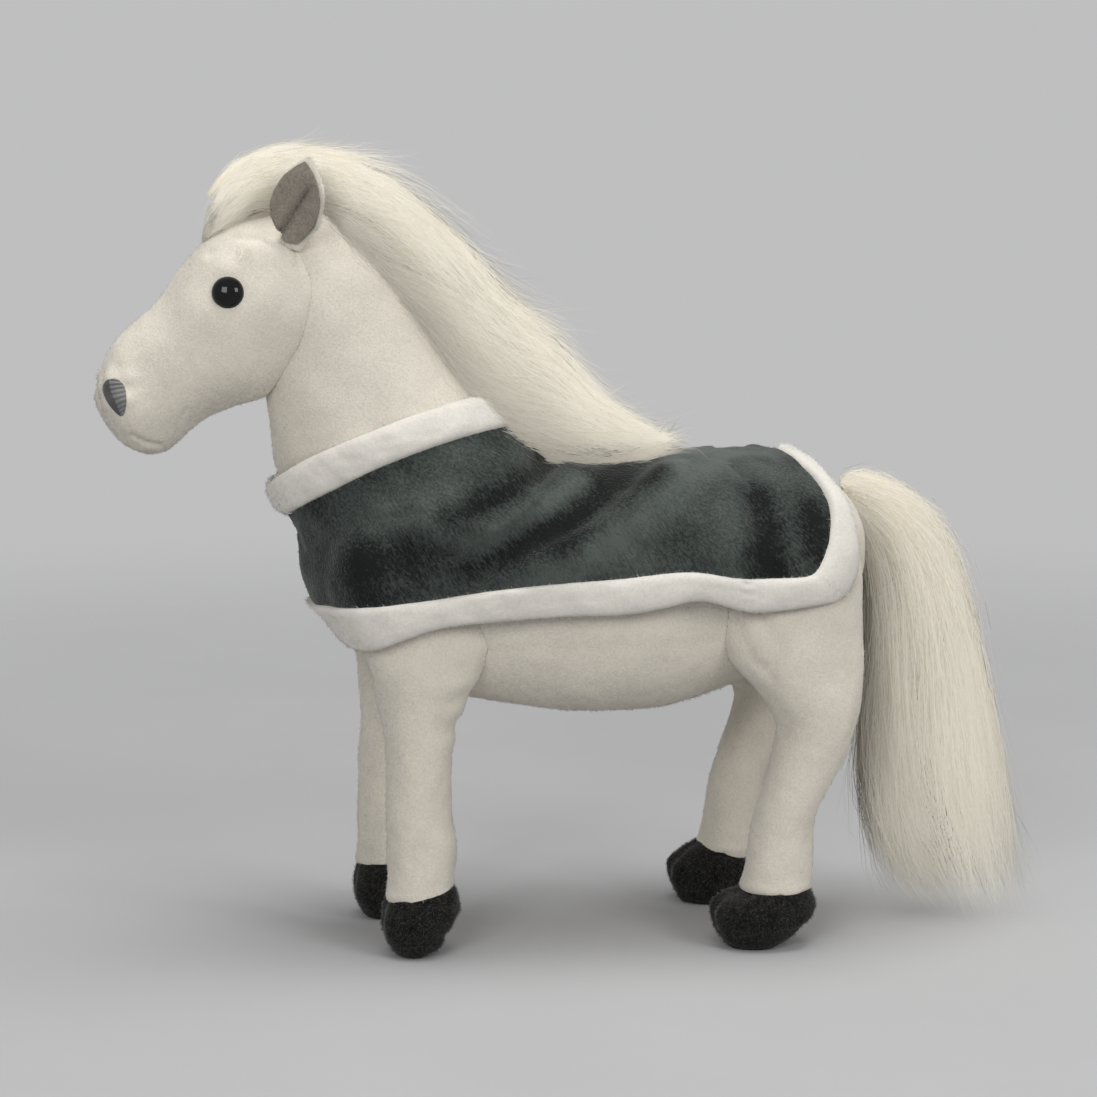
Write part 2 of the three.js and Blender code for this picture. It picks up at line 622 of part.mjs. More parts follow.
// Hook and loop tapes between the two chest ends
const tapeHeightShare = 0.6;
const tapeMiddle = bellyClearance + tapeHeightShare * torsoDepth;
function tape(from) {
  const face = joined(outerFace(clothThickness));
  const shape = face.translate([-from - tapeThickness, 0, 0]).subtract(face.translate([-from, 0, 0]));
  return shape.intersect(block(
    new THREE.Vector3(-reach, -tapeWidth / 2, tapeMiddle - tapeLength / 2),
    new THREE.Vector3(lapFront, tapeWidth / 2, tapeMiddle + tapeLength / 2),
  ));
}
add(rug, "hook_tape", geometryOf(tape(seamGap)), charcoal);
add(rug, "loop_tape", geometryOf(tape(2 * seamGap + tapeThickness)), charcoal);

// Mane, in the neck's frame: [top x, top z, root x, root z, half width] from the poll to the tips
const maneShares = [
  [-0.1, 1.13, -0.1, 1.13, 0],
  [0.03, 1.2, -0.05, 1.03, 0.27],
  [0.245, 1.158, 0.105, 0.966, 0.42],
  [0.409, 1.078, 0.181, 0.813, 0.64],
  [0.566, 0.952, 0.282, 0.648, 0.76],
  [0.695, 0.781, 0.345, 0.472, 0.82],
  [0.81, 0.586, 0.39, 0.29, 0.85],
  [0.943, 0.42, 0.53, 0.14, 0.79],
  [1.069, 0.262, 0.79, 0.02, 0.64],
  [1.202, 0.148, 1.01, -0.01, 0.45],
  [1.283, 0.072, 1.19, -0.02, 0.27],
  [1.345, 0, 1.345, 0, 0],
];
const forelockShares = [
  [-0.228, 0.64, -0.228, 0.64, 0],
  [-0.136, 0.786, -0.159, 0.635, 0.29],
  [-0.006, 0.894, -0.074, 0.647, 0.42],
  [0.119, 0.935, 0.004, 0.637, 0.45],
  [0.197, 0.897, 0.065, 0.61, 0.32],
  [0.165, 0.737, 0.165, 0.737, 0],
];
const maneSize = { x: neckDepth, y: maneSpread / 2, z: neckLength };
const forelockSize = { x: headLength, y: maneSpread / 2, z: headDepth };
const forelock = add(headGroup, "forelock", stuffed(forelockShares, forelockSize, { sides: 10 }), hair);
const mane = add(neckGroup, "mane", stuffed(maneShares, maneSize, { sides: 12 }), hair);
const roundForelock = worldSolid(forelock, seamGap);
const borderTop = beside(neckLine, trimWidth + seamGap);
const underRug = joined(outerFace(trimThickness + seamGap)).intersect(slab([
  ...borderTop, new THREE.Vector2(borderTop.at(-1).x, rugTop), new THREE.Vector2(reach, rugTop),
  new THREE.Vector2(reach, -overrun), new THREE.Vector2(-reach, -overrun),
]));
const roundEars = [...ears, ...linings].map((ear) => worldSolid(ear, seamGap));

// Tail, hung at the top of the rump, in its own frame from its sewn root down
const tailShares = [
  [-0.01, -0.03, -0.01, -0.03, 0],
  [0.066, 0.03, 0.028, -0.07, 0.26],
  [0.275, 0.024, 0.073, -0.127, 0.48],
  [0.466, -0.084, 0.096, -0.204, 0.74],
  [0.635, -0.209, 0.107, -0.319, 0.89],
  [0.736, -0.338, 0.107, -0.434, 0.96],
  [0.815, -0.492, 0.107, -0.559, 1],
  [0.893, -0.635, 0.129, -0.683, 1],
  [0.949, -0.77, 0.197, -0.8, 0.89],
  [0.994, -0.895, 0.298, -0.904, 0.67],
  [0.961, -0.971, 0.478, -0.971, 0.41],
  [0.736, -1, 0.736, -1, 0],
];
const tailRootShares = { x: 0.4755, z: 0.85 }; // of the torso
const tailGroup = new THREE.Group();
horse.add(tailGroup);
tailGroup.position.set(
  tailRootShares.x * torsoLength, 0, bellyClearance + tailRootShares.z * torsoDepth);
const tailSize = { x: tailReach, y: tailWidth / 2, z: tailGroup.position.z - tailClearance };
const tail = add(tailGroup, "tail", stuffed(tailShares, tailSize, { sides: 12 }), hair);

// Embroidered nostrils: a teardrop in the side view, laid on the skin of the muzzle
const nostrilShares = { x: -0.843, z: 0.075 };
const nostrilLean = -20; // degrees
const nostrilSides = 8; // along each of its two curves
for (const [name, side] of [["left", -1], ["right", 1]]) {
  const [w, l] = [nostrilWidth / 2, nostrilLength / 2];
  const drop = new THREE.Shape();
  drop.moveTo(0, -l);
  drop.bezierCurveTo(w, -l / 3, w, l, 0, l);
  drop.bezierCurveTo(-w, l, -w, -l / 3, 0, -l);
  const options = { depth: headWidth, bevelEnabled: false, curveSegments: nostrilSides };
  const cutter = new THREE.ExtrudeGeometry(drop, options)
    .rotateZ(radians(nostrilLean)).rotateX(Math.PI / 2).translate(0, side > 0 ? headWidth : 0, 0)
    .translate(nostrilShares.x * headLength, 0, nostrilShares.z * headDepth);
  const shape = solidOf(tidied(cutter), head.matrixWorld)
    .intersect(nostrilSkin.outer).subtract(nostrilSkin.inner);
  add(headGroup, `${name}_nostril`, geometryOf(shape, headGroup.matrixWorld), grey);
}

// Sewing gaps: each form gives way to the larger ones that it is sewn to
cut(neck, round.torso, round.head);
for (const leg of legs) cut(leg, round.torso, round.neck);
for (const ear of [...ears, ...linings]) cut(ear, round.head, round.neck);
cut(forelock, round.head, round.neck, ...roundEars);
cut(mane, round.torso, round.neck, round.head, roundForelock, underRug, ...roundEars);
cut(tail, round.torso);

// The part's origin is on the floor, under the middle of its box
const box = new THREE.Box3().setFromObject(horse, true);
const middle = box.getCenter(new THREE.Vector3());
horse.position.set(-middle.x, -middle.y, -box.min.z);
horse.updateMatrixWorld(true);
export default horse;
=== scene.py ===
"""A white stuffed horse with a long mane and tail in a fleece rug. Metres, +Z up, nose towards -X."""
import math

import bpy
import numpy as np
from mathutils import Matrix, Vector


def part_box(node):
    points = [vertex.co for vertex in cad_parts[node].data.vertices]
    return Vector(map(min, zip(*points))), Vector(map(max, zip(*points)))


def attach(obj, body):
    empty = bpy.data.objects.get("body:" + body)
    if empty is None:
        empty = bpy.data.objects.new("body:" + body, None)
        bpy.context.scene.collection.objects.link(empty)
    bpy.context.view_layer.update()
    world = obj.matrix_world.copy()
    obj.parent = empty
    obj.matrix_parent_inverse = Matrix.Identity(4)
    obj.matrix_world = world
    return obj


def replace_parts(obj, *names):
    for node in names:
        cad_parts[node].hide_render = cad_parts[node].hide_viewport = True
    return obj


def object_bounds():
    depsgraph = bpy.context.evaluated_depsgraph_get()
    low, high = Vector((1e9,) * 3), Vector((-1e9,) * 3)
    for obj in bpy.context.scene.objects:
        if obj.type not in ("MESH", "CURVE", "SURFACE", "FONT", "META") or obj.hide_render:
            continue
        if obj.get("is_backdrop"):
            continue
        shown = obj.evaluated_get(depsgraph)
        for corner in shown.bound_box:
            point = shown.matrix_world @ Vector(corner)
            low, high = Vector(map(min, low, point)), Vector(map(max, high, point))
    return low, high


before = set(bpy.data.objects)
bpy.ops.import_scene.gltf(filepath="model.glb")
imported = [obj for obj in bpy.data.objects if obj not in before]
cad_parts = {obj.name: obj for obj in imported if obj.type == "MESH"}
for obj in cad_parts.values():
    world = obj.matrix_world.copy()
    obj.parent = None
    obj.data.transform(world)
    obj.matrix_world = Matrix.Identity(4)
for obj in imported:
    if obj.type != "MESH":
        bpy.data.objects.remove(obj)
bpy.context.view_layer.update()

scene = bpy.context.scene
scene.view_settings.view_transform = "Standard"

# Camera: it stands on the horse's left, a little ahead of its middle and 0.4 m up, with a long lens.
# It is 1.5 m from the horse, where one pixel of the photograph is 0.48 mm.
turn, drop = math.radians(8), math.radians(8.7)
ahead = Vector((math.sin(turn) * math.cos(drop), math.cos(turn) * math.cos(drop), -math.sin(drop)))
lens = bpy.data.cameras.new("camera")
lens.lens, lens.sensor_width = 102.55, 36
camera = bpy.data.objects.new("camera", lens)
camera.location = Vector((-0.0115, 0, 0.187)) - 1.5 * ahead
camera.rotation_euler = ahead.to_track_quat("-Z", "Y").to_euler()
scene.collection.objects.link(camera)
scene.camera = camera


# Floor and background: a pale grey studio floor, which fades into a background of the same grey.
# Two large soft lamps stand left and right of the camera and one hangs above.
class Wire:
    """An output in a material's nodes. Sums and products of wires and numbers add Math nodes."""

    def __init__(self, tree, socket=None):
        self.tree, self.socket = tree, socket

    def node(self, kind, settings=None, sockets=None, output=0):
        """Adds a node of a kind, sets it, feeds its sockets with wires or values, and gives an output."""
        made = self.tree.nodes.new(kind)
        for name, value in (settings or {}).items():
            if name == "stops":
                while len(made.color_ramp.elements) < len(value):
                    made.color_ramp.elements.new(0.5)
                for element, (place, colour) in zip(made.color_ramp.elements, value):
                    element.position, element.color = place, (*colour, 1)
            else:
                setattr(made, name, value)
        for name, value in (sockets or {}).items():
            if isinstance(value, Wire):
                self.tree.links.new(value.socket, made.inputs[name])
            else:
                made.inputs[name].default_value = value
        return Wire(self.tree, made.outputs[output])

    def maths(self, operation, a, b=0.0):
        return self.node("ShaderNodeMath", {"operation": operation}, {0: a, 1: b})

    def __add__(self, other):
        return self.maths("ADD", self, other)

    def __sub__(self, other):
        return self.maths("SUBTRACT", self, other)

    def __rsub__(self, other):
        return self.maths("SUBTRACT", other, self)

    def __mul__(self, other):
        return self.maths("MULTIPLY", self, other)

    __radd__, __rmul__ = __add__, __mul__

    def sine(self):
        return self.maths("SINE", self)

    def clamped(self, low, high):
        """0 below low, 1 above high and smooth between them."""
        return self.node("ShaderNodeMapRange", {"interpolation_type": "SMOOTHSTEP"},
                         {"Value": self, "From Min": low, "From Max": high})

    def tint(self, factor, first, second):
        """A colour between two, by a factor."""
        fix = lambda c: c if isinstance(c, Wire) else (*c, 1)
        return self.node("ShaderNodeMix", {"data_type": "RGBA"},
                         {0: factor, 6: fix(first), 7: fix(second)}, output=2)

    def place(self, cell=(1, 1, 1), tilt=0):
        """The object's own coordinates in cells of a size, their upright axis tilted by degrees about Y."""
        where = self.node("ShaderNodeTexCoord", output=3)
        return self.node("ShaderNodeMapping", {"vector_type": "TEXTURE"}, {
            0: where, "Rotation": (0, math.radians(tilt), 0), "Scale": cell})

    def noise(self, scale, detail=3, rough=0.55, place=None):
        place = place or self.place()
        return self.node("ShaderNodeTexNoise", sockets={
            "Vector": place, "Scale": scale, "Detail": detail, "Roughness": rough})

    def bump(self, height, strength, distance):
        return self.node("ShaderNodeBump", sockets={
            "Height": height, "Strength": strength, "Distance": distance})


def finish(name, paint=None, **constants):
    """A material of one Principled shader. Its constants stand on its sockets, and paint(wire) gives
    the wires of what varies over the surface."""
    made = bpy.data.materials.new(name)
    made.use_nodes = True
    shader = made.node_tree.nodes["Principled BSDF"]
    for key, value in constants.items():
        shader.inputs[key.replace("_", " ")].default_value = (*value, 1) if key == "Base_Color" else value
    for key, value in (paint(Wire(made.node_tree)) if paint else {}).items():
        made.node_tree.links.new(value.socket, shader.inputs[key.replace("_", " ")])
    return made


def mesh_of(name, points, *faces):
    """A smooth mesh object from points (n, 3) and arrays of faces, turned so that its volume is positive."""
    fans = [np.stack([f[:, 0], f[:, k], f[:, k + 1]], 1) for f in faces for k in range(1, f.shape[1] - 1)]
    a, b, c = (points[np.concatenate(fans)[:, k]] for k in range(3))
    if (a * np.cross(b, c)).sum() < 0:
        faces = [f[:, ::-1] for f in faces]
    sizes = np.concatenate([np.full(len(f), f.shape[1]) for f in faces])
    mesh = bpy.data.meshes.new(name)
    mesh.vertices.add(len(points))
    mesh.vertices.foreach_set("co", points.astype(np.float32).ravel())
    mesh.loops.add(int(sizes.sum()))
    mesh.loops.foreach_set("vertex_index", np.concatenate([f.ravel() for f in faces]).astype(np.int32))
    mesh.polygons.add(len(sizes))
    mesh.polygons.foreach_set("loop_start", np.concatenate([[0], np.cumsum(sizes)[:-1]]).astype(np.int32))
    mesh.update(calc_edges=True)
    mesh.polygons.foreach_set("use_smooth", np.ones(len(sizes), bool))
    thing = bpy.data.objects.new(name, mesh)
    scene.collection.objects.link(thing)
    return thing


def quads(rows, columns, closed):
    """The faces of a grid of points, with its columns joined in a ring where closed."""
    index = np.arange(rows * columns).reshape(rows, columns)
    if closed:
        index = np.concatenate([index, index[:, :1]], 1)
    return np.stack([index[:-1, :-1], index[:-1, 1:], index[1:, 1:], index[1:, :-1]], -1).reshape(-1, 4)


def floor_paint(w):
    """A pale grey that fades out between 0.4 and 1.4 m from the middle."""
    far = w.node("ShaderNodeVectorMath", {"operation": "LENGTH"}, {0: w.place()}, "Value")
    return {"Base_Color": w.tint(w.noise(5, 4).clamped(0.3, 0.7), (0.44, 0.44, 0.444), (0.455, 0.455, 0.459)),
            "Alpha": 1 - far.clamped(0.4, 1.4)}


corners = np.array([[-6, -6, 0], [6, -6, 0], [6, 6, 0], [-6, 6, 0]], float)
floor = mesh_of("floor", corners, np.array([[0, 1, 2, 3]]))
floor.data.materials.append(finish("studio_floor", floor_paint, Roughness=0.9))
floor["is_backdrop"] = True

world = bpy.data.worlds.new("studio")
world.use_nodes = True
scene.world = world
sky = Wire(world.node_tree)
seen = sum(sky.node("ShaderNodeLightPath", output=ray)
           for ray in ("Is Camera Ray", "Is Glossy Ray", "Is Transmission Ray"))
world.node_tree.links.new(seen.tint(seen, (0.36, 0.36, 0.36), (0.52, 0.52, 0.524)).socket,
                          world.node_tree.nodes["Background"].inputs["Color"])
for name, spot, size, power in [
    ("left_lamp", (-1.0, -1.9, 1.3), 0.9, 15.3), ("right_lamp", (1.3, -1.7, 1.25), 0.8, 14.3),
    ("top_lamp", (0.1, -0.1, 2.1), 1.2, 27),
]:
    lamp = bpy.data.lights.new(name, "AREA")
    lamp.size, lamp.energy = size, power
    stand = bpy.data.objects.new(name, lamp)
    stand.location = spot
    stand.rotation_euler = (Vector((0, 0, 0.2)) - Vector(spot)).to_track_quat("-Z", "Y").to_euler()
    stand.visible_camera, stand.visible_glossy = False, name != "top_lamp"
    scene.collection.objects.link(stand)


# Torso: white plush sewn round fibre stuffing. It is widest at the belly, where a seam runs along it.
# A row of a table is [top x, top z, bottom x, bottom z, half width, outward lean] in shares of size.
torso_size = (0.2645, 0.053, 0.123)
torso_foot = 0.108
middle_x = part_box("torso")[0].x + torso_size[0] / 2
torso_rows = [
    [-0.5, 0.62, -0.5, 0.62, 0], [-0.487, 0.74, -0.485, 0.5, 0.42], [-0.443, 0.845, -0.444, 0.36, 0.7],
    [-0.355, 0.93, -0.395, 0.215, 0.89], [-0.226, 0.965, -0.264, 0.098, 0.98],
    [-0.08, 0.967, -0.11, 0.024, 1], [0.05, 0.97, 0.03, 0, 1], [0.18, 0.975, 0.175, 0.05, 0.98],
    [0.307, 0.975, 0.296, 0.146, 0.94], [0.415, 0.925, 0.41, 0.268, 0.81],
    [0.478, 0.805, 0.474, 0.423, 0.51], [0.5, 0.618, 0.5, 0.618, 0],
]


def through(rows, count, poles=(False, False)):
    """Points on the Catmull-Rom curve through a table's rows. Beyond a pole stands the next row turned
    over, with its top as its bottom and its half width below zero, which rounds the end."""
    rows = np.array([list(row) + [0.0] * (6 - len(row)) if len(row) > 3 else row for row in rows], float)
    over = lambda row: np.array([row[2], row[3], row[0], row[1], -row[4], row[5]])
    first = over(rows[1]) if poles[0] else 2 * rows[0] - rows[1]
    last = over(rows[-2]) if poles[1] else 2 * rows[-1] - rows[-2]
    rows = np.vstack([first, rows, last])
    t = np.linspace(0, len(rows) - 3, count)
    i = np.minimum(t.astype(int), len(rows) - 4)
    f = (t - i)[:, None]
    a, b, c, d = (rows[i + k] for k in range(4))
    rise, fall = (c - a) / 2, (d - b) / 2
    bend = 2 * (b - c) + rise + fall
    return b + rise * f + (c - b - rise - bend) * f**2 + bend * f**3


def stuffed(rows, size, along, around, power=2.0, side=1, step=0.0, crease=0.0, poles=(True, True)):
    """A grid of points: each row is centre + up * cos + half width * sin of an angle, the cosine and the
    sine raised to 2 / power. Step bends the form forward, and crease draws its front in."""
    top_x, top_z, low_x, low_z, half, lean = through(rows, along, poles).T[:, :, None]
    turn = np.linspace(0, 2 * math.pi, around, endpoint=False)[None]
    squared = lambda v: np.sign(v) * np.abs(v) ** (2 / power)
    drawn = 1 - crease * np.exp(-((((turn + math.pi) % (2 * math.pi)) - math.pi) / 0.22) ** 2)
    up, out = squared(np.cos(turn)) * drawn, squared(np.sin(turn))
    level = np.clip(((top_z + low_z) / 2 - 0.2) / 0.8, 0, 1)
    bent = step * (1 - level**2 * (3 - 2 * level))
    x = ((top_x + low_x) / 2 + (top_x - low_x) / 2 * up) * size[0] - bent
    y = (side * lean + half * out) * size[1]
    z = ((top_z + low_z) / 2 + (top_z - low_z) / 2 * up) * size[2]
    return np.stack(np.broadcast_arrays(x, y, z), -1)


def placed(points, origin, lean):
    """Points turned by lean degrees towards -X and moved to an origin."""
    c, s = math.cos(math.radians(lean)), math.sin(math.radians(lean))
    x, y, z = np.moveaxis(points, -1, 0)
    return np.stack([x * c - z * s, y, x * s + z * c], -1) + np.asarray(origin)


def closed(name, grid, poles=(True, True)):
    """A closed mesh from rings of points, a fan of triangles at each end. A pole's ring is one point."""
    rings = grid[int(poles[0]):len(grid) - int(poles[1])]
    rows, columns = rings.shape[:2]
    ends = np.stack([grid[0].mean(0), grid[-1].mean(0)])
    here = np.arange(columns)
    beside = (here + 1) % columns
    last = columns * (rows - 1)
    first = np.full(columns, rows * columns)
    fans = np.concatenate([np.stack([first, beside, here], 1),
                           np.stack([first + 1, last + here, last + beside], 1)])
    return mesh_of(name, np.concatenate([rings.reshape(-1, 3), ends]), quads(rows, columns, True), fans)


def points_of(thing, what="co"):
    """The points of a mesh, or their normals, as an array of rows."""
    flat = np.empty(3 * len(thing.data.vertices), np.float32)
    thing.data.vertices.foreach_get(what, flat)
    return flat.reshape(-1, 3).astype(float)


def raised(thing, height):
    """Moves each point along its normal by a height, which is a function of the points."""
    spots = points_of(thing)
    spots += points_of(thing, "normal") * np.asarray(height(spots)).reshape(-1, 1)
    thing.data.vertices.foreach_set("co", spots.astype(np.float32).ravel())
    thing.data.update()


def lumps(spots, seed, length, waves=14):
    """A smooth random height near -1 to 1: the mean of sine waves of about one length in all directions."""
    rng = np.random.default_rng(seed)
    way = rng.normal(size=(3, waves))
    way *= 2 * math.pi / length / np.linalg.norm(way, axis=0) * rng.uniform(0.6, 1.5, waves)
    return np.sin(np.asarray(spots) @ way + rng.uniform(0, 6.3, waves)).sum(-1) / math.sqrt(waves)


def bell(distance, width):
    """1 at no distance, and e to the minus square of distance over width away from there."""
    return np.exp(-((distance / width) ** 2))


def near_line(spots, line):
    """How far points lie from a line of the side view, in mm, and on which side of it, in x and z."""
    x, z = spots[..., 0] * 1000, spots[..., 2] * 1000
    best, side = np.full(x.shape, 1e9), np.zeros(x.shape)
    for (x0, z0), (x1, z1) in zip(line[:-1], line[1:]):
        length = math.hypot(x1 - x0, z1 - z0)
        t = np.clip(((x - x0) * (x1 - x0) + (z - z0) * (z1 - z0)) / length**2, 0, 1)
        away = np.hypot(x - x0 - t * (x1 - x0), z - z0 - t * (z1 - z0))
        left = ((x1 - x0) * (z - z0) - (z1 - z0) * (x - x0)) / length
        side = np.where(away < best, np.sign(left), side)
        best = np.minimum(away, best)
    return best, side


def folds(spots, rows):
    """The heights of folds, added up. A row is (height, left width, right width, *points): the crest runs
    along a side-view line, and on each side of it the height falls by a bell of that width in mm."""
    total = 0
    for height, left, right, *line in rows:
        away, side = near_line(spots, line)
        total = total + height * bell(away, np.where(side > 0, left, right))
    return total


def unit(vectors):
    """Vectors of length one."""
    return vectors / (np.linalg.norm(vectors, axis=-1, keepdims=True) + 1e-12)


def nap(w, colour, shade, fine=900, blotch=60, depth=0.0007, strength=0.35):
    """Short pile: blotches where it is brushed lighter and darker, and a fine grain that stands up."""
    grain = w.noise(fine, 2, 0.7)
    mask = (w.noise(blotch, 4, 0.6) * 0.35 + grain * 0.65).clamped(0.36, 0.62)
    height = grain * 0.6 + w.noise(fine / 4, 3) * 0.4
    return {"Base_Color": w.tint(mask, tuple(c * shade for c in colour), colour),
            "Normal": w.bump(height, strength, depth)}


# The skin under the pile is coloured a little darker than its fibres, as painted shade among the fibres,
# which throw no shadow.
pile_look = dict(Roughness=0.95, Sheen_Weight=0.25, Sheen_Roughness=0.5, Specular_IOR_Level=0.15)
white_plush = finish("white_plush", lambda w: nap(w, (0.7, 0.652, 0.564), 0.86, strength=0.5), **pile_look)
white_fibre = finish("white_fibre", Base_Color=(0.745, 0.697, 0.607), **pile_look)
three_sides = (0, 2.094, 4.189)  # the angles of a fibre's corners


def pile(name, skin, count, length, comb, fibre, seed, keep=None, width=0.0003, rise=0.42, spread=0.4):
    """Short fibres on a mesh, each a closed three-sided spike. Roots lie evenly over the triangles by their
    area, and a fibre points along rise * normal + the combing direction, with a random spread. Light soaks
    through single fibres, so they throw no shadow."""
    rng = np.random.default_rng(seed)
    skin.data.calc_loop_triangles()
    corners = np.empty(3 * len(skin.data.loop_triangles), np.int32)
    skin.data.loop_triangles.foreach_get("vertices", corners)
    corners = corners.reshape(-1, 3)
    spots, normals = points_of(skin), points_of(skin, "normal")
    a, b, c = (spots[corners[:, k]] for k in range(3))
    area = np.linalg.norm(np.cross(b - a, c - a), axis=1)
    pick = rng.choice(len(corners), int(count * 2.2), p=area / area.sum())
    r, s = np.sqrt(rng.random(len(pick))), rng.random(len(pick))
    share = np.stack([1 - r, r * (1 - s), r * s], 1)[:, :, None]
    root = (spots[corners[pick]] * share).sum(1)
    normal = unit((normals[corners[pick]] * share).sum(1))
    good = np.flatnonzero(keep(root, normal) if keep else np.ones(len(root)))[:count]
    root, normal = root[good], normal[good]
    way = np.array(comb) + rng.normal(size=root.shape) * spread
    way -= normal * (way * normal).sum(1, keepdims=True)
    way = unit(way + normal * rise * rng.uniform(0.6, 1.5, (len(root), 1)))
    flat = unit(np.cross(way, normal))
    thick = np.cross(way, flat)
    reach = length * rng.uniform(0.65, 1.15, (len(root), 1))
    base = root - normal * 0.0002
    ring = [base + width / 2 * (math.cos(t) * flat + math.sin(t) * thick) for t in three_sides]
    corner = np.stack([*ring, base + way * reach], 1).reshape(-1, 3)
    start = 4 * np.arange(len(root))[:, None, None]
    faces = (start + np.array([[0, 2, 1], [0, 1, 3], [1, 2, 3], [2, 0, 3]])[None]).reshape(-1, 3)
    fur = mesh_of(name, corner, faces)
    fur.data.normals_split_custom_set_from_vertices(np.repeat(normal + 0.1 * way, 4, axis=0))
    fur.data.materials.append(fibre)
    fur.visible_shadow = False
    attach(fur, "horse")


def covered(thing, look):
    """Gives a mesh one material in place of any it has."""
    thing.data.materials.clear()
    thing.data.materials.append(look)
    return thing


def dressed(thing, node, look, body="horse"):
    """Gives a finished piece its material, hides the solid that it stands for, and hangs it on a body."""
    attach(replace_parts(covered(thing, look), node), body)


# Side-view lines in mm, read off the photograph: where the rug's borders end on the plush
hem_low = [(-124, 166), (-119.4, 155.2), (-115.7, 149.7), (-102.7, 148.6), (-87.3, 154.4), (-68.8, 160.2),
           (-41, 162.6), (-9.9, 164.2), (15.1, 164.3), (33.9, 167), (48, 170.6), (57.5, 169.6), (67, 166.2),
           (76.5, 164.4), (93.9, 165.6), (112, 167.6)]
rear_out = [(119, 169), (124, 175), (127.2, 183.7), (127.2, 196.5), (125, 208.5), (121.5, 216.5),
            (117.5, 222), (114.5, 225), (111, 227.5)]
neck_up = [(-142.6, 223.1), (-137.2, 228.4), (-126.4, 236.7), (-107.9, 245.6), (-84.7, 254.5), (-69.2, 258.9),
           (-53.7, 262.3), (-46, 261.7), (-38.2, 258.5)]


def bare(spots, normals):
    """True where the rug doesn't cover a point of the plush."""
    x, z = spots[:, 0] * 1000, spots[:, 2] * 1000
    below = z < np.interp(x, *np.array(hem_low).T) + 5
    behind = x > np.interp(z, *np.array(rear_out).T) - 4
    above = z > np.interp(x, *np.array(neck_up).T) - 5
    return below | (behind & (x > 60)) | (above & (x < -30))


def belly(p):
    """The skin's heights: a little uneven, with the belly's seam pressed in along a wavy line 147 mm up."""
    seam = bell(p[:, 2] - 0.147 - 0.0015 * lumps(p, 3, 0.05), 0.0016) * (np.abs(p[:, 0] - 0.005) < 0.06)
    return 0.0006 * lumps(p, 1, 0.05) + 0.00012 * lumps(p, 2, 0.014) - 0.0007 * seam


torso = closed("torso_plush", stuffed(torso_rows, torso_size, 110, 120, 2.2) + (middle_x, 0, torso_foot))
raised(torso, belly)
dressed(torso, "torso", white_plush)
pile("torso_pile", torso, 13500, 0.0021, (0.75, 0, -0.6), white_fibre, 11, bare)


# Neck and head: two stuffed plush forms, sewn together along the cheek. The head's skin has darts over
# the brow and a seam round the chin.
neck_size, neck_lean = (0.1, 0.033, 0.165), 20.5
neck_root = (middle_x - 0.309 * torso_size[0], 0, torso_foot + 0.667 * torso_size[2])
neck_rows = [
    [-0.03, 1.03, -0.03, 1.03, 0], [0.133, 1.012, -0.196, 0.963, 0.5], [0.256, 0.9, -0.333, 0.794, 0.68],
    [0.371, 0.757, -0.401, 0.647, 0.82], [0.452, 0.577, -0.469, 0.494, 0.97],
    [0.525, 0.418, -0.52, 0.372, 1.12], [0.6, 0.265, -0.486, 0.235, 1.27], [0.66, 0.09, -0.43, 0.08, 1.33],
    [0.48, -0.02, -0.3, -0.06, 1.03], [0.05, -0.09, 0.05, -0.09, 0],
]
head_size, head_lean = (0.11, 0.031, 0.08), neck_lean + 5.5
head_root = placed(np.array([-0.158 * neck_size[0], 0, 0.748 * neck_size[2]]), neck_root, neck_lean)
head_rows = [
    [0.175, 0.1, 0.175, 0.1, 0], [0.18, 0.36, 0.055, -0.14, 0.62], [0.115, 0.544, -0.1, -0.28, 0.89],
    [-0.009, 0.66, -0.285, -0.328, 0.98], [-0.171, 0.657, -0.431, -0.302, 1],
    [-0.333, 0.571, -0.547, -0.287, 0.95], [-0.485, 0.457, -0.648, -0.316, 0.85],
    [-0.629, 0.394, -0.762, -0.351, 0.77], [-0.755, 0.339, -0.843, -0.325, 0.77],
    [-0.847, 0.248, -0.907, -0.219, 0.68], [-0.904, 0.161, -0.934, -0.097, 0.44],
    [-0.938, 0.052, -0.938, 0.052, 0],
]
eye_spot, nose = (placed(np.array([x * head_size[0], 0, z * head_size[2]]), head_root, head_lean)
                  for x, z in [(-0.229, 0.337), (-0.843, 0.075)])


def face(p):
    """The head's form in heights: a socket round each eye, a brow over it, dart wrinkles, a chin seam."""
    side = np.abs(p[:, 1])
    x, z = (p[:, 0] - eye_spot[0]) * 1000, (p[:, 2] - eye_spot[2]) * 1000
    flank, off_middle = np.clip((side - 0.012) / 0.01, 0, 1), np.clip((side - 0.003) / 0.004, 0, 1)
    socket = -0.9 * bell(np.hypot(x, z + 1), 10) + 1.3 * bell(np.hypot(x / 1.3, z - 10.5), 5)
    cheek = folds(p, [(-0.7, 1.1, 1.1, (-184, 258), (-187, 251), (-186, 246))])
    brow = (1.7 * np.sin(x * 1.5 + 0.06 * z * z) * bell(x - 8, 5.5) * bell(z - 16, 4)
            + folds(p, [(-1.4, 1.3, 1.3, (-172, 330), (-160, 338), (-148, 337), (-138, 331))]))
    chin = (0.9 * lumps(p, 15, 0.012) * bell(np.hypot(x + 53, z + 47), 12)
            + folds(p, [(-1.3, 1.2, 1.2, (-209, 247), (-203, 243), (-196, 241.5))]))
    return (0.001 * (flank * (socket + cheek) + off_middle * brow + chin)
            + 0.0005 * lumps(p, 4, 0.035) + 0.00008 * lumps(p, 5, 0.011))


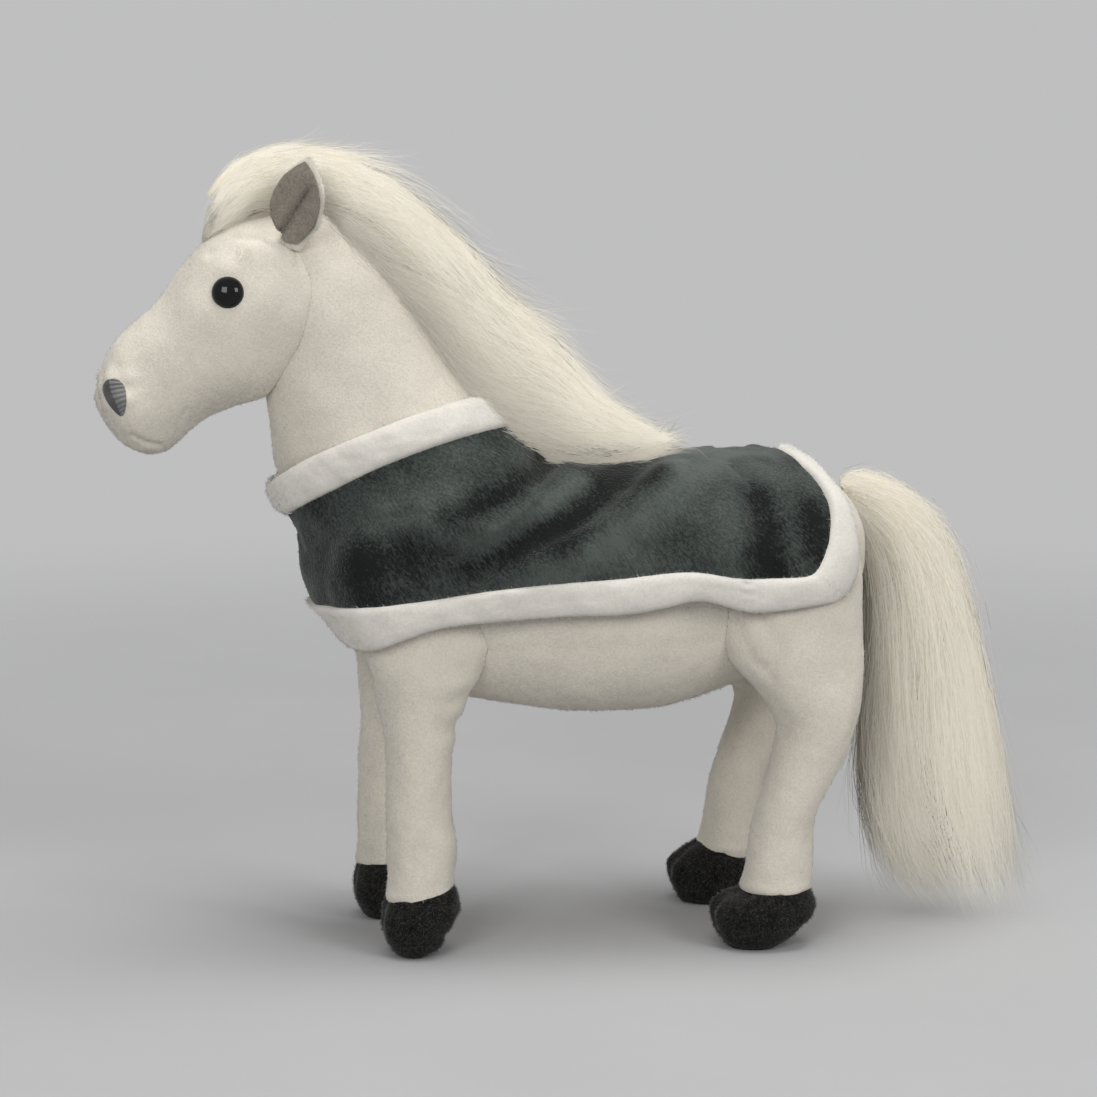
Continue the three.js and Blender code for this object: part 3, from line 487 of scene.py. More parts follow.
head = closed("head_plush", placed(stuffed(head_rows, head_size, 130, 128), head_root, head_lean))
raised(head, face)
neck = closed("neck_plush", placed(stuffed(neck_rows, neck_size, 110, 112), neck_root, neck_lean))
raised(neck, lambda p: 0.0005 * lumps(p, 6, 0.04) + 0.0001 * lumps(p, 7, 0.013))
sewing_gap = 0.0003


def cut_back(thing, *neighbours, gap=sewing_gap):
    """Cuts a closed piece back to a sewing gap from its larger neighbours, which are first grown by it."""
    for other in neighbours:
        grown = other.copy()
        grown.data = other.data.copy()
        scene.collection.objects.link(grown)
        raised(grown, lambda p: np.full(len(p), gap))
        cutter = thing.modifiers.new("cut", "BOOLEAN")
        cutter.operation, cutter.solver, cutter.object = "DIFFERENCE", "MANIFOLD", grown
        looks = bpy.context.evaluated_depsgraph_get()
        mesh = bpy.data.meshes.new_from_object(thing.evaluated_get(looks))
        thing.modifiers.clear()
        thing.data = mesh
        bpy.data.objects.remove(grown)
    thing.data.set_sharp_from_angle(angle=math.radians(50))


cut_back(neck, torso)
cut_back(neck, head, gap=0.0001)
dressed(head, "head", white_plush)
dressed(neck, "neck", white_plush)


def head_bare(p, n):
    """Off the eyes and the nostrils."""
    at = lambda q: np.hypot(p[:, 0] - q[0], p[:, 2] - q[2])
    return (at(eye_spot) > 0.0072) & ((at(nose) > 0.0068) | (np.abs(p[:, 1]) < 0.008))


pile("head_pile", head, 20500, 0.0016, (0.8, 0, 0.05), white_fibre, 12, head_bare, spread=0.5)
pile("neck_pile", neck, 12500, 0.0017, (0.45, 0, -0.85), white_fibre, 13, bare)


# Legs: four stuffed plush tubes, sewn to the torso at the shoulders and hips. They end in a cuff seam
# over hooves of charcoal plush, each with a crease at its toe and a padded sole sewn under it.
leg_size = (0.033, 0.017)
fore_rows = [
    [0.15, 1, 0.15, 1, 0, 0.06], [-0.515, 0.958, 0.758, 0.958, 0.59, 0.29],
    [-0.74, 0.865, 1.09, 0.865, 0.88, 0.26], [-0.78, 0.766, 1.09, 0.776, 1.03, 0.18],
    [-0.606, 0.667, 0.788, 0.667, 1.09, 0.09], [-0.5, 0.573, 0.545, 0.583, 1.03, 0.03],
    [-0.464, 0.458, 0.455, 0.458, 0.97, 0], [-0.455, 0.344, 0.47, 0.344, 0.94, 0],
    [-0.455, 0.25, 0.545, 0.255, 0.95, 0],
]
hind_rows = [
    [0.21, 1, 0.21, 1, 0, -0.18], [-0.576, 0.962, 0.939, 0.952, 0.71, -0.12],
    [-0.97, 0.865, 1.182, 0.865, 1.03, -0.12], [-0.97, 0.769, 1.212, 0.769, 1.18, -0.09],
    [-0.818, 0.688, 1.227, 0.673, 1.26, -0.06], [-0.364, 0.601, 1.197, 0.601, 1.24, 0],
    [-0.03, 0.519, 1.152, 0.529, 1.15, 0], [-0.076, 0.452, 0.985, 0.447, 1.03, 0],
    [-0.212, 0.375, 0.712, 0.365, 0.94, 0], [-0.333, 0.298, 0.524, 0.298, 0.91, 0],
    [-0.439, 0.216, 0.515, 0.216, 0.91, 0],
]
fore_hoof = [[-0.46, 1.01, 0.51, 1.21, 0.97, 0], [-0.53, 0.74, 0.57, 0.96, 1.13, 0],
             [-0.545, 0.45, 0.53, 0.66, 1.15, 0], [-0.47, 0.22, 0.37, 0.33, 1.02, 0]]
hind_hoof = [[-0.54, 0.97, 0.46, 1.02, 0.94, 0], [-0.93, 0.76, 0.54, 0.76, 1.21, 0],
             [-0.99, 0.49, 0.49, 0.52, 1.24, 0], [-0.94, 0.29, 0.34, 0.39, 1.12, 0]]
fore_sole = [[-0.41, 0.08, 0.27, 0.13, 0.9, 0], [-0.31, 0, 0.12, 0, 0.65, 0]]
hind_sole = [[-0.86, 0.1, 0.17, 0.15, 1, 0], [-0.74, 0, -0.02, 0, 0.76, 0]]
hoof_height = 0.027
seam = sewing_gap / hoof_height
fore_aside, hind_aside = 0.035, 0.042  # from the horse's middle to a leg's
hoof_plush = finish("hoof_plush", lambda w: nap(w, (0.017, 0.0165, 0.016), 0.35, 520, 150, 0.0012, 0.8),
                    Roughness=1, Sheen_Weight=0.1, Sheen_Roughness=0.5, Specular_IOR_Level=0.03)
hoof_fibre = finish("hoof_fibre", Base_Color=(0.058, 0.056, 0.052), Roughness=1, Sheen_Weight=0.15,
                    Specular_IOR_Level=0.03)
wrinkle = {
    "fore": lambda p: 0.0009 * np.sin((p[:, 2] - 0.1 * p[:, 0]) * 420) * bell(p[:, 2] - 0.118, 0.02)
    * bell(p[:, 0] + 0.058, 0.012),
    "hind": lambda p: folds(p, [(-0.0016, 3, 3, (78, 168), (84, 155), (90, 146), (86, 138)),
                                (-0.0011, 2.2, 2.2, (70, 160), (73, 150), (78, 140), (86, 132))]),
}
sides = [("left", -1), ("right", 1)]


def hoof_form(rows, along):
    """The grid of a squarish padded form with a crease at its toe."""
    return stuffed(rows, (*leg_size, hoof_height), along, 88, 2.3, crease=0.12, poles=(False, False))


for kind, share, y, step, tilt, top, rows, hoof_rows, sole_rows in [
    ("fore", -0.3355, fore_aside, 0.008, 0, 0.683, fore_rows, fore_hoof, fore_sole),
    ("hind", 0.3147, hind_aside, 0.006, 0.26, 0.813, hind_rows, hind_hoof, hind_sole),
]:
    height = torso_foot + top * torso_size[2]
    for name, side in sides:
        root = np.array([middle_x + share * torso_size[0], side * y, 0])
        ahead_by, slope = (step, tilt) if side > 0 else (0, 0)
        wall = [list(row) for row in hoof_rows]
        wall[0][1], wall[0][3] = wall[0][1] + slope / 2, wall[0][3] - slope
        cuff = list(wall[0])
        cuff[1], cuff[3] = (cuff[1] + seam) * hoof_height / height, (cuff[3] + seam) * hoof_height / height
        tube = stuffed([*rows, cuff], (*leg_size, height), 120, 72, side=side, step=ahead_by,
                       poles=(True, False))
        leg = closed(f"{name}_{kind}_leg_plush", tube + root, (True, False))
        raised(leg, lambda p: 0.0005 * lumps(p, 8 + side, 0.03) + 0.0001 * lumps(p, 12, 0.011)
               + wrinkle[kind](p) + 0.0006 * bell(p[:, 2] - 0.0285, 0.003) * (p[:, 2] > 0.0272))
        cut_back(leg, torso, neck)
        dressed(leg, f"{name}_{kind}_leg", white_plush)
        pile(f"{name}_{kind}_leg_pile", leg, 8200, 0.0018, (0.1, 0, -1), white_fibre,
             20 + side + (kind == "hind") * 4, bare)
        toe = root - (ahead_by, 0, 0)
        hoof = closed(f"{name}_{kind}_hoof_plush", hoof_form(wall, 40) + toe, (False, False))
        low = [wall[-1][0], wall[-1][1] - seam, wall[-1][2], wall[-1][3] - seam, *wall[-1][4:]]
        sole = closed(f"{name}_{kind}_sole_plush", hoof_form([low, *sole_rows], 16) + toe, (False, False))
        for part, form, many, seed in [("hoof", hoof, 4600, 30), ("sole", sole, 1300, 40)]:
            raised(form, lambda p: 0.0004 * lumps(p, seed, 0.012) * (p[:, 2] > 0.0012))
            form.data.set_sharp_from_angle(angle=math.radians(55))
            dressed(form, f"{name}_{kind}_{part}", hoof_plush)
            pile(f"{name}_{kind}_{part}_pile", form, many, 0.0019, (-0.4, 0, -0.5), hoof_fibre,
                 seed + side, lambda p, n: p[:, 2] > 0.0016, 0.00034, 0.9, 0.7)


# Ears: padded leaves of white plush, cupped round a lining of short grey brown pile, which folds over
# itself along the middle. They are sewn to the head between the forelock and the mane.
ear_length, ear_width, ear_cup, ear_thickness, lining_thickness = 0.042, 0.025, 0.006, 0.003, 0.0012
ear_outline = [[-0.06, 0.3, 0], [0.1, 0.62, 0], [0.3, 0.94, 0], [0.5, 1, 0], [0.7, 0.82, 0], [0.88, 0.42, 0],
               [1, 0, 0]]
lining_outline = [[0.02, 0.26, 0], [0.12, 0.52, 0], [0.3, 0.82, 0], [0.5, 0.88, 0], [0.7, 0.7, 0],
                  [0.85, 0.36, 0], [0.94, 0, 0]]


def leaf(outline, near, far, crease, shift=0.0, along=60, around=56):
    """A grid round a cupped leaf: at an angle, across = half width * cos, and the depth is -cup * across
    squared, less a crease along the middle, between its two faces by the sine."""
    height, half = through(outline, along)[:, :2].T[:, :, None]
    half = np.maximum(half, 0)
    turn = np.linspace(0, 2 * math.pi, around, endpoint=False)[None]
    over = half * np.cos(turn) - shift
    plump = np.sin(turn) * np.minimum(1, half * 2)
    fold = crease * bell(over + 0.3 - 1.35 * (height - 0.25), 0.13)
    fold = fold * np.clip((height + 0.1) * 6, 0, 1) * np.clip((0.72 - height) * 6, 0, 1)
    depth = -ear_cup * over * over + (near + far) / 2 + (far - near) / 2 * plump + fold
    return np.stack(np.broadcast_arrays(over * ear_width / 2, depth, height * ear_length), -1)


def three_axes(x, y, z):
    """The turn by y, then x, then z degrees about the moving axes."""
    cx, cy, cz = (math.cos(math.radians(a)) for a in (x, y, z))
    sx, sy, sz = (math.sin(math.radians(a)) for a in (x, y, z))
    about_y = np.array([[cy, 0, sy], [0, 1, 0], [-sy, 0, cy]])
    about_x = np.array([[1, 0, 0], [0, cx, -sx], [0, sx, cx]])
    return about_y @ about_x @ np.array([[cz, -sz, 0], [sz, cz, 0], [0, 0, 1]])


lining_look = dict(Roughness=0.95, Sheen_Weight=0.3, Specular_IOR_Level=0.1)
lining_plush = finish("lining_pile", lambda w: nap(w, (0.285, 0.25, 0.21), 0.7, 800, 160), **lining_look)
lining_fibre = finish("lining_fibre", Base_Color=(0.36, 0.325, 0.28), **lining_look)
for name, side in sides:
    axes = three_axes(-side * 12, 36, side * 18) * np.array([1, -side, 1])
    base = np.array([0.105 * head_size[0], side * 0.36 * 2 * head_size[1], 0.41 * head_size[2]])
    stand = lambda grid: placed(grid @ axes.T + base, head_root, head_lean)
    ear = closed(f"{name}_ear_plush", stand(leaf(ear_outline, 0, ear_thickness, 0.0042)), (False, True))
    lining = closed(f"{name}_ear_lining_plush", stand(
        leaf(lining_outline, -sewing_gap - lining_thickness, -sewing_gap, 0.0042, 0.09)), (False, True))
    raised(ear, lambda p: 0.0003 * lumps(p, 50, 0.012))
    raised(lining, lambda p: 0.00015 * lumps(p, 51, 0.006))
    for node, thing, look, fill, fibre, slot, many, long in [
        (f"{name}_ear", ear, white_plush, 0.6, white_fibre, "white_pile", 3600, 0.0019),
        (f"{name}_ear_lining", lining, lining_plush, 0.2, lining_fibre, "lining_pile", 3000, 0.0013),
    ]:
        cut_back(thing, head, neck)
        dressed(thing, node, look)
        pile(f"{node}_pile", thing, many, long, (0.5, 0, 0.8), fibre, 52 + side, rise=0.5, spread=0.5)


# Eyes: glossy black plastic buttons on shanks. Each shank goes through the head's skin, and a washer of
# white plastic, pressed onto it inside, holds it.
eye_depth = 0.0016  # how far the button's back is pressed into the plush


def on_head(spot, side):
    """Where a line across the head at a side-view place meets the skin, and the skin's normal there."""
    _, where, normal, _ = head.ray_cast(Vector((spot[0], side * 0.2, spot[2])), Vector((0, -side, 0)))
    return np.array(where), np.array(normal)


eye_gloss = finish("eye_gloss", lambda w: {
    "Roughness": w.noise(900, 2).clamped(0.2, 0.9) * 0.03 + 0.05,
}, Base_Color=(0.003, 0.003, 0.0035), Specular_IOR_Level=0.25, Coat_Weight=0.12, Coat_Roughness=0.03)
shank = np.array([[0, -0.01, 0], [0.0022, -0.01, 0], [0.0022, -0.0003, 0], [0.0068, -0.0003, 0]])
dome = np.array([[0.0074, 0.0002, 0], [0.0075, 0.001, 0], [0.0071, 0.0025, 0], [0.00585, 0.0042, 0],
                 [0.004, 0.0053, 0], [0.002, 0.00585, 0], [0, 0.006, 0]])
out, up = np.concatenate([shank, through(dome, 40)])[:, :2].T[:, :, None, None]
for name, side in sides:
    spot, normal = on_head(eye_spot, side)
    across_one = unit(np.cross(normal, (0, 0, 1)))
    across_two = np.cross(normal, across_one)
    turn = np.linspace(0, 2 * math.pi, 64, endpoint=False)[None, :, None]
    grid = (spot - normal * eye_depth + up * normal
            + np.maximum(out, 0) * (np.cos(turn) * across_one + np.sin(turn) * across_two))
    eye = closed(f"{name}_eye_button", grid)
    eye.data.set_sharp_from_angle(angle=math.radians(40))
    dressed(eye, f"{name}_eye", eye_gloss)
    covered(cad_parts[f"{name}_eye_washer"], finish(f"{name}_washer_plastic", lambda w: {
        "Base_Color": w.tint(w.noise(400, 3), (0.7, 0.7, 0.7), (0.78, 0.78, 0.77))}, Roughness=0.45))


# Nostrils: teardrops of grey satin stitch over the muzzle, their threads fanned out from the front, which is
# painted dark as shade in the nostril's hollow.
def satin_with_painted_shade(w):
    """Painted shade of the nostril's hollow at its front, and ribs of thread that fan out behind it, painted
    darker in the grooves between them as shade.
    """
    where = w.node("ShaderNodeUVMap", {"uv_map": "OFBake"})
    u = w.node("ShaderNodeSeparateXYZ", sockets={0: where}) * 4 - 1
    v = w.node("ShaderNodeSeparateXYZ", sockets={0: where}, output=1) * 2 - 1
    # Painted shade: darker in the grooves between the ribs, which follow the ribs of the stitches' form.
    rib_shade = ((v * 26 + u * v * 5).sine() * 0.5 + 0.5).clamped(0.05, 0.8)
    shaded_ribs = w.tint(rib_shade, (0.1, 0.102, 0.1), (0.19, 0.193, 0.186))
    # Painted shade of the nostril's hollow, dark at the front.
    behind = (u + v * 0.12 + w.noise(700, 2) * 0.25).clamped(-0.12, 0.06)
    return {"Base_Color": w.tint(behind, (0.05, 0.05, 0.05), shaded_ribs),
            "Normal": w.bump(w.noise(2500, 2), 0.4, 0.0002)}


def settled(thing):
    """Where the points of a mesh are once its modifiers have done their work."""
    return points_of(thing.evaluated_get(bpy.context.evaluated_depsgraph_get()))


def mapped(thing, shares):
    """Gives a mesh its map: shares(numbers of the points at the faces' corners) gives across and along."""
    corner = np.empty(len(thing.data.loops), np.int32)
    thing.data.loops.foreach_get("vertex_index", corner)
    spread = np.stack(shares(corner), 1).astype(np.float32)
    thing.data.uv_layers.new(name="OFBake").data.foreach_set("uv", spread.ravel())


def stitched(corner):
    """Across is the share round a ring of the nostril, and along is the ring's number as a share."""
    end = corner >= tall * around
    return (np.where(end, 0.5, corner % around / around),
            np.where(end, corner % around, (corner // around + 1) / (tall + 1)))


thread_grey = finish("nostril_thread", satin_with_painted_shade, Roughness=0.5, Sheen_Weight=0.3)
tall, wide = 80, 32  # the points of a nostril's grid
around = 2 * wide
underside, rim, swell, rib_height = 0.00025, 0.0004, 0.00035, 0.0004
for name, side in sides:
    v = np.linspace(-1, 1, tall)[:, None]
    u = np.linspace(-1, 1, wide)[None]
    half = 0.0047 * np.sqrt(np.maximum(1 - v**2, 0)) * (1 + 0.42 * v)
    lean = math.radians(head_lean - 10)
    flat_x, flat_z = u * half, v * 0.0087 + 0 * u
    x = nose[0] + flat_x * math.cos(lean) - flat_z * math.sin(lean)
    z = nose[2] + flat_x * math.sin(lean) + flat_z * math.cos(lean)
    sheet = mesh_of("nostril_wrap", np.stack([x, np.full_like(x, side * 0.1), z], -1).reshape(-1, 3),
                    quads(tall, wide, False))
    wrap = sheet.modifiers.new("wrap", "SHRINKWRAP")
    wrap.target, wrap.wrap_method, wrap.use_project_y = head, "PROJECT", True
    wrap.use_negative_direction = wrap.use_positive_direction = True
    low = settled(sheet).reshape(tall, wide, 3)
    bpy.data.objects.remove(sheet)
    out = unit(np.cross(np.gradient(low, axis=1), np.gradient(low, axis=0)))
    out *= np.sign((out * np.array([0, side, 0])).sum(-1, keepdims=True) + 1e-9)
    ridge = (0.5 + 0.5 * np.sin(v * 26 + u * v * 5)) * np.clip(u + 0.5, 0, 1)
    crown = np.sqrt(np.maximum(1 - u**4, 0)) * np.sqrt(np.maximum(1 - v**8, 0))
    top = low + out * (rim + swell * crown + rib_height * ridge * crown)[..., None]
    bottom = low + out * underside
    rings = np.concatenate([top, bottom[:, ::-1]], 1)
    nostril = closed(f"{name}_nostril_stitches", rings, (False, False))
    mapped(nostril, stitched)
    dressed(nostril, f"{name}_nostril", thread_grey)


# Rug: a blanket of dark grey green fleece, cut in one piece with a hole for the neck. Its two chest ends
# lap left over right, and a border of brushed white pile is sewn along every edge.
cloth, lap, lap_blend, lap_height, lap_bend = 0.0016, 0.022, 0.022, 0.0046, 0.0023
rug_half = 0.0015 + max(torso_size[1], fore_aside + 1.27 * leg_size[1], hind_aside + 1.2 * leg_size[1])
rug_rows = [
    [-0.503, 0.618, -0.503, 0.618, 0], [-0.49, 0.74, -0.489, 0.488, 0.49],
    [-0.453, 0.85, -0.455, 0.3, 0.78], [-0.395, 0.93, -0.425, 0.15, 0.89],
    [-0.298, 0.974, -0.358, -0.016, 0.92], [-0.173, 0.98, -0.233, -0.08, 0.925],
    [-0.026, 0.98, -0.063, -0.106, 0.925], [0.107, 0.99, 0.088, -0.106, 0.94],
    [0.24, 0.998, 0.24, -0.08, 0.99], [0.341, 0.998, 0.364, -0.033, 0.96], [0.415, 0.955, 0.42, 0.1, 0.87],
    [0.466, 0.87, 0.465, 0.24, 0.7], [0.496, 0.775, 0.495, 0.4, 0.44], [0.51, 0.6, 0.51, 0.6, 0],
]
neck_low = [(-134.5, 207.7), (-125.2, 215.3), (-112.8, 222.8), (-97.4, 231), (-80.4, 237.7), (-66.4, 242.1),
            (-50.9, 245.7), (-33.1, 247.5), (-28, 247)]
hem_green = [(-122, 166), (-112, 169), (-97.9, 171.7), (-71.8, 174.2), (-40.9, 178.2), (-9.9, 180.3),
             (15, 181.6), (36.9, 183.7), (52.6, 183.8), (68.4, 181.1), (84.2, 180.8), (102, 181.1)]
rear_green = [(105, 183), (109, 189), (112, 196), (114.2, 205), (114, 213), (110.8, 220.5), (106, 225.5),
              (99.5, 229)]


def smoothstep(v):
    """0 below 0, 1 above 1, and 3 v squared less 2 v cubed between them."""
    v = np.clip(v, 0, 1)
    return v * v * (3 - 2 * v)


form = closed("rug_form", stuffed(rug_rows, (torso_size[0], rug_half, torso_size[2]), 90, 96, 2.4)
              + (middle_x, 0, torso_foot))
collar = closed("rug_collar", placed(stuffed(neck_rows, neck_size, 90, 96), neck_root, neck_lean))
edge = np.array([*neck_low, (-16.7 + middle_x * 1000, 247)])
spots, normals = points_of(collar), points_of(collar, "normal")
stand_off = 0.0006 + 0.013 * np.abs(normals[:, 1]) * smoothstep(
    (np.interp(spots[:, 0] * 1000, *edge.T) / 1000 - spots[:, 2]) / 0.034)
raised(collar, lambda p: stand_off)
bpy.ops.object.select_all(action="DESELECT")
form.select_set(True)
collar.select_set(True)
bpy.context.view_layer.objects.active = form
bpy.ops.object.join()
voxels = form.modifiers.new("voxels", "REMESH")
voxels.mode, voxels.voxel_size = "VOXEL", 0.0025
even = form.modifiers.new("even", "SMOOTH")
even.factor, even.iterations = 0.5, 14


def laid(spots):
    """The points of a grid moved to the nearest place on the form under the rug."""
    cloud = bpy.data.meshes.new("cloud")
    cloud.vertices.add(spots.size // 3)
    cloud.vertices.foreach_set("co", spots.astype(np.float32).ravel())
    thing = bpy.data.objects.new("cloud", cloud)
    scene.collection.objects.link(thing)
    wrap = thing.modifiers.new("wrap", "SHRINKWRAP")
    wrap.target, wrap.wrap_method = form, "TARGET_PROJECT"
    moved = settled(thing).reshape(spots.shape)
    bpy.data.objects.remove(thing)
    return moved


def gone(line):
    """The length gone along a line at each of its points."""
    return np.concatenate([[0], np.cumsum(np.linalg.norm(np.diff(line, axis=0), axis=1))])


def spaced(line, count):
    """Points along a side-view line in metres, closer together at both ends, where it turns inwards."""
    fine = through([tuple(p) for p in line], 400) / 1000
    far = gone(fine)
    s = np.linspace(0, 1, count)
    s = (s - 0.8 * np.sin(2 * math.pi * s) / (2 * math.pi)) * far[-1]
    return np.stack([np.interp(s, far, fine[:, k]) for k in (0, 1)], 1)


half_round, cloth_rows, band_rows, lap_steps = 160, 80, 16, 8
collar_top, collar_low = spaced(neck_up, half_round + 1), spaced(neck_low, half_round + 1)
skirt = spaced(hem_green + rear_green, half_round + 1)
skirt_low = spaced(hem_low + rear_out, half_round + 1)
chest = np.stack([np.interp(np.linspace(0, 1, cloth_rows), [0, 0.4, 0.75, 1], v) for v in
                  [(-134.5, -128.5, -124.5, -122), (207.7, 193, 179, 166)]], 1) / 1000
spine = through([(-28, 247), (-23, 238), (-17.2, 231.5), (-7.6, 228.1), (15, 226.6), (55.6, 230.5),
                 (80, 230.5), (99.5, 229)], cloth_rows) / 1000
r = np.linspace(0, 1, cloth_rows)[:, None, None]
s = np.linspace(0, 1, half_round + 1)[None, :, None]
side_view = ((1 - r) * collar_low + r * skirt + (1 - s) * chest[:, None] + s * spine[:, None]
             - (1 - r) * ((1 - s) * collar_low[0] + s * collar_low[-1])
             - r * ((1 - s) * skirt[0] + s * skirt[-1]))
band = np.linspace(0, 1, band_rows)[:, None, None]
side_view = np.concatenate([collar_top + (collar_low - collar_top) * band, side_view,
                            skirt + (skirt_low - skirt) * band])
rows = len(side_view)
here = np.linspace(0, 1, half_round + 1)
bulge = 0.06 * np.sin(math.pi * here) ** 0.7
left = np.stack([side_view[..., 0], np.broadcast_to(-bulge, side_view.shape[:2]), side_view[..., 1]], -1)
mirror = np.array([1, -1, 1])
ring = np.concatenate([left, (left * mirror)[:, -2:0:-1]], 1)
aim = ring.copy()
along = np.concatenate([here, here[-2:0:-1]])
hold = smoothstep((np.minimum(along, 1 - along) - 0.03) / 0.14)[None, :, None] * np.array([1, 0, 1])
for _ in range(10):
    ring = laid(ring)
    ring += hold * (aim - ring)
    even_out = (np.roll(ring, 1, 1) + np.roll(ring, -1, 1)) / 2 - ring
    ring += 0.5 * (1 - hold) * even_out
ring = laid(ring)
for _ in range(4):
    ring = (ring + (ring + np.roll(ring, 1, 1) + np.roll(ring, -1, 1)) / 3) / 2
    ring[1:-1] = (ring[1:-1] * 2 + ring[:-2] + ring[2:]) / 4
bpy.data.objects.remove(form)


def lapped(row):
    """A row round the horse with both chest ends carried past the middle by half of the lap."""
    steps = np.linspace(lap / 2, 0, lap_steps + 1)[:-1]
    right = np.concatenate([row[:1], row[:0:-1]])[:60]
    start = np.stack([np.interp(steps, gone(right), right[:, k]) for k in range(3)], 1)
    return np.concatenate([start, row, row[:1], (start * mirror)[::-1]])


strip = np.stack([lapped(row) for row in ring])
outward = unit(np.cross(np.gradient(strip, axis=1), np.gradient(strip, axis=0)))
if (outward * (strip - strip.mean((0, 1)))).sum() < 0:
    outward = -outward
start_half = np.arange(strip.shape[1]) < strip.shape[1] // 3
lap_rise = np.where(start_half, smoothstep((strip[..., 1] + lap / 2 + lap_blend) / lap_blend), 0) * lap_height
row = np.arange(rows)[:, None]
between_bands = smoothstep((row - band_rows - 1) / 9) * smoothstep((rows - band_rows - 2 - row) / 9)
lap_rise -= lap_bend * between_bands * start_half * smoothstep((strip[..., 1] - lap / 2 + 0.0055) / 0.005)

# Rows for folds(): those of the drape have heights in metres, and those of the painted fold shade are from -1
# to 1.
slants = [
    (0.0075, 15, 12, (37, 223), (21.5, 213.9), (5.9, 203.3), (-9.6, 195.8), (-25.2, 189.9), (-40.7, 183.3)),
    (-0.006, 4.5, 10, (33, 229), (16, 218), (-1, 207), (-18, 199), (-36, 191), (-52, 184)),
    (0.0055, 13, 11, (-4.6, 229), (-15.4, 221.9), (-27.8, 216.7), (-40.2, 210.8), (-55.7, 204.9), (-66, 201)),
    (-0.0045, 4, 8, (-8, 231), (-20, 225), (-34, 219), (-50, 213)),
]
hollows = [
    (0.004, 6, 22, (72, 216), (72, 200), (72.5, 186)), (-0.0036, 11, 5, (79, 212), (80, 188)),
    (-0.003, 6, 7, (103, 208), (104, 192)), (0.0012, 7, 7, (92, 205), (92, 192)),
    (-0.002, 9, 9, (-118, 190), (-112, 178)), (0.0016, 10, 10, (-100, 196), (-96, 180)),
]
creases = [
    (-0.0015, 2.2, 3, (-98.3, 207.3), (-90.6, 210.3), (-81.3, 213.2)),
    (-0.003, 2.2, 2.8, (-24.8, 237), (-23.2, 231), (-20.9, 225)),
    (-0.0012, 1.8, 2.5, (88, 228), (94, 224)), (-0.0012, 1.6, 2.2, (-131, 199), (-122, 201)),
]
fold_shade_rows = [
    (-1.2, 7.5, 8, (31, 233), (13, 222), (-5, 211), (-22, 203), (-40, 195), (-57, 188)),
    (0.9, 10, 6, (47, 224), (26, 209), (9, 198), (-7, 190), (-23, 184), (-38, 178)),
    (-0.9, 5.5, 6, (-12, 234), (-24, 228), (-38, 222), (-54, 216), (-68, 212)),
    (0.9, 9, 5, (-2, 224), (-14, 217), (-28, 211), (-42, 204), (-58, 197)),
    (-1, 9, 9, (82, 215), (82, 186)), (0.6, 8, 8, (66, 222), (66, 184)),
    (-0.7, 6, 6, (105, 212), (106, 192)), (-0.6, 13, 13, (-108, 192), (-104, 176)),
    (0.4, 10, 10, (-60, 226), (-96, 212)), (0.5, 7, 7, (92, 230), (50, 231)),
]


def drape(p):
    """The rug's folds: two slanting ones from the back to the hem, hollows at the flank, and creases."""
    flank = smoothstep((np.abs(p[..., 1]) - 0.006) / 0.03)
    waves = 0.0011 * lumps(p, 60, 0.05) + 0.0004 * lumps(p, 61, 0.017)
    return flank * (folds(p, slants) + folds(p, hollows)) + folds(p, creases) + waves


def painted_fold_shade(p):
    """Painted shade and light on the fleece, -1 to 1: painted shade in the folds' valleys and painted light
    by their crests, with random patches.
    """
    return np.clip(folds(p, fold_shade_rows) + 0.22 * lumps(p, 66, 0.03), -1, 1)


height = drape(strip) - drape(strip).min() * 0.08
fade_rows = np.ones(rows)
fade_rows[:band_rows + 10] = np.linspace(0.35, 1, band_rows + 10)
fade_rows[-band_rows - 10:] = np.linspace(1, 0.35, band_rows + 10)
height = np.maximum(height, -0.0004) * fade_rows[:, None] + lap_rise
strip = strip + outward * height[..., None]
tight = slice(band_rows - 2, rows - band_rows + 2)
fleece = (0.025, 0.029, 0.0268)
fleece_look = dict(Roughness=0.85, Sheen_Weight=0.22, Sheen_Roughness=0.35, Specular_IOR_Level=0.12)


def fleece_nap_and_fold_shade(w):
    """Fleece: painted shade in its folds' valleys and painted light by their crests, from the nap attribute,
    with short slanted streaks and random patches over a fine grain.
    """
    streaks = w.noise(1, 3, 0.65, w.place((0.0011, 0.0011, 0.0042), -35))
    grain = w.noise(900, 2, 0.6)
    # The nap attribute holds the painted fold shade.
    fold_shade_mask = w.node("ShaderNodeAttribute", {"attribute_name": "nap"}, output="Fac")
    patches = w.noise(34, 4, 0.6).clamped(0.35, 0.65)
    mask = fold_shade_mask * 0.6 + 0.08 + (streaks * 0.65 + grain * 0.35).clamped(0.36, 0.66) * 0.5 + patches * 0.26
    return {"Base_Color": w.tint(mask, tuple(c * 0.42 for c in fleece), tuple(c * 3.5 for c in fleece)),
            "Normal": w.bump(streaks * 0.6 + grain * 0.4, 0.9, 0.0012)}


def layer(name, top, bottom):
    """A closed piece from the two faces of a sheet, given as grids, rows by columns."""
    return closed(name, np.concatenate([top, bottom[::-1]]).transpose(1, 0, 2), (False, False))


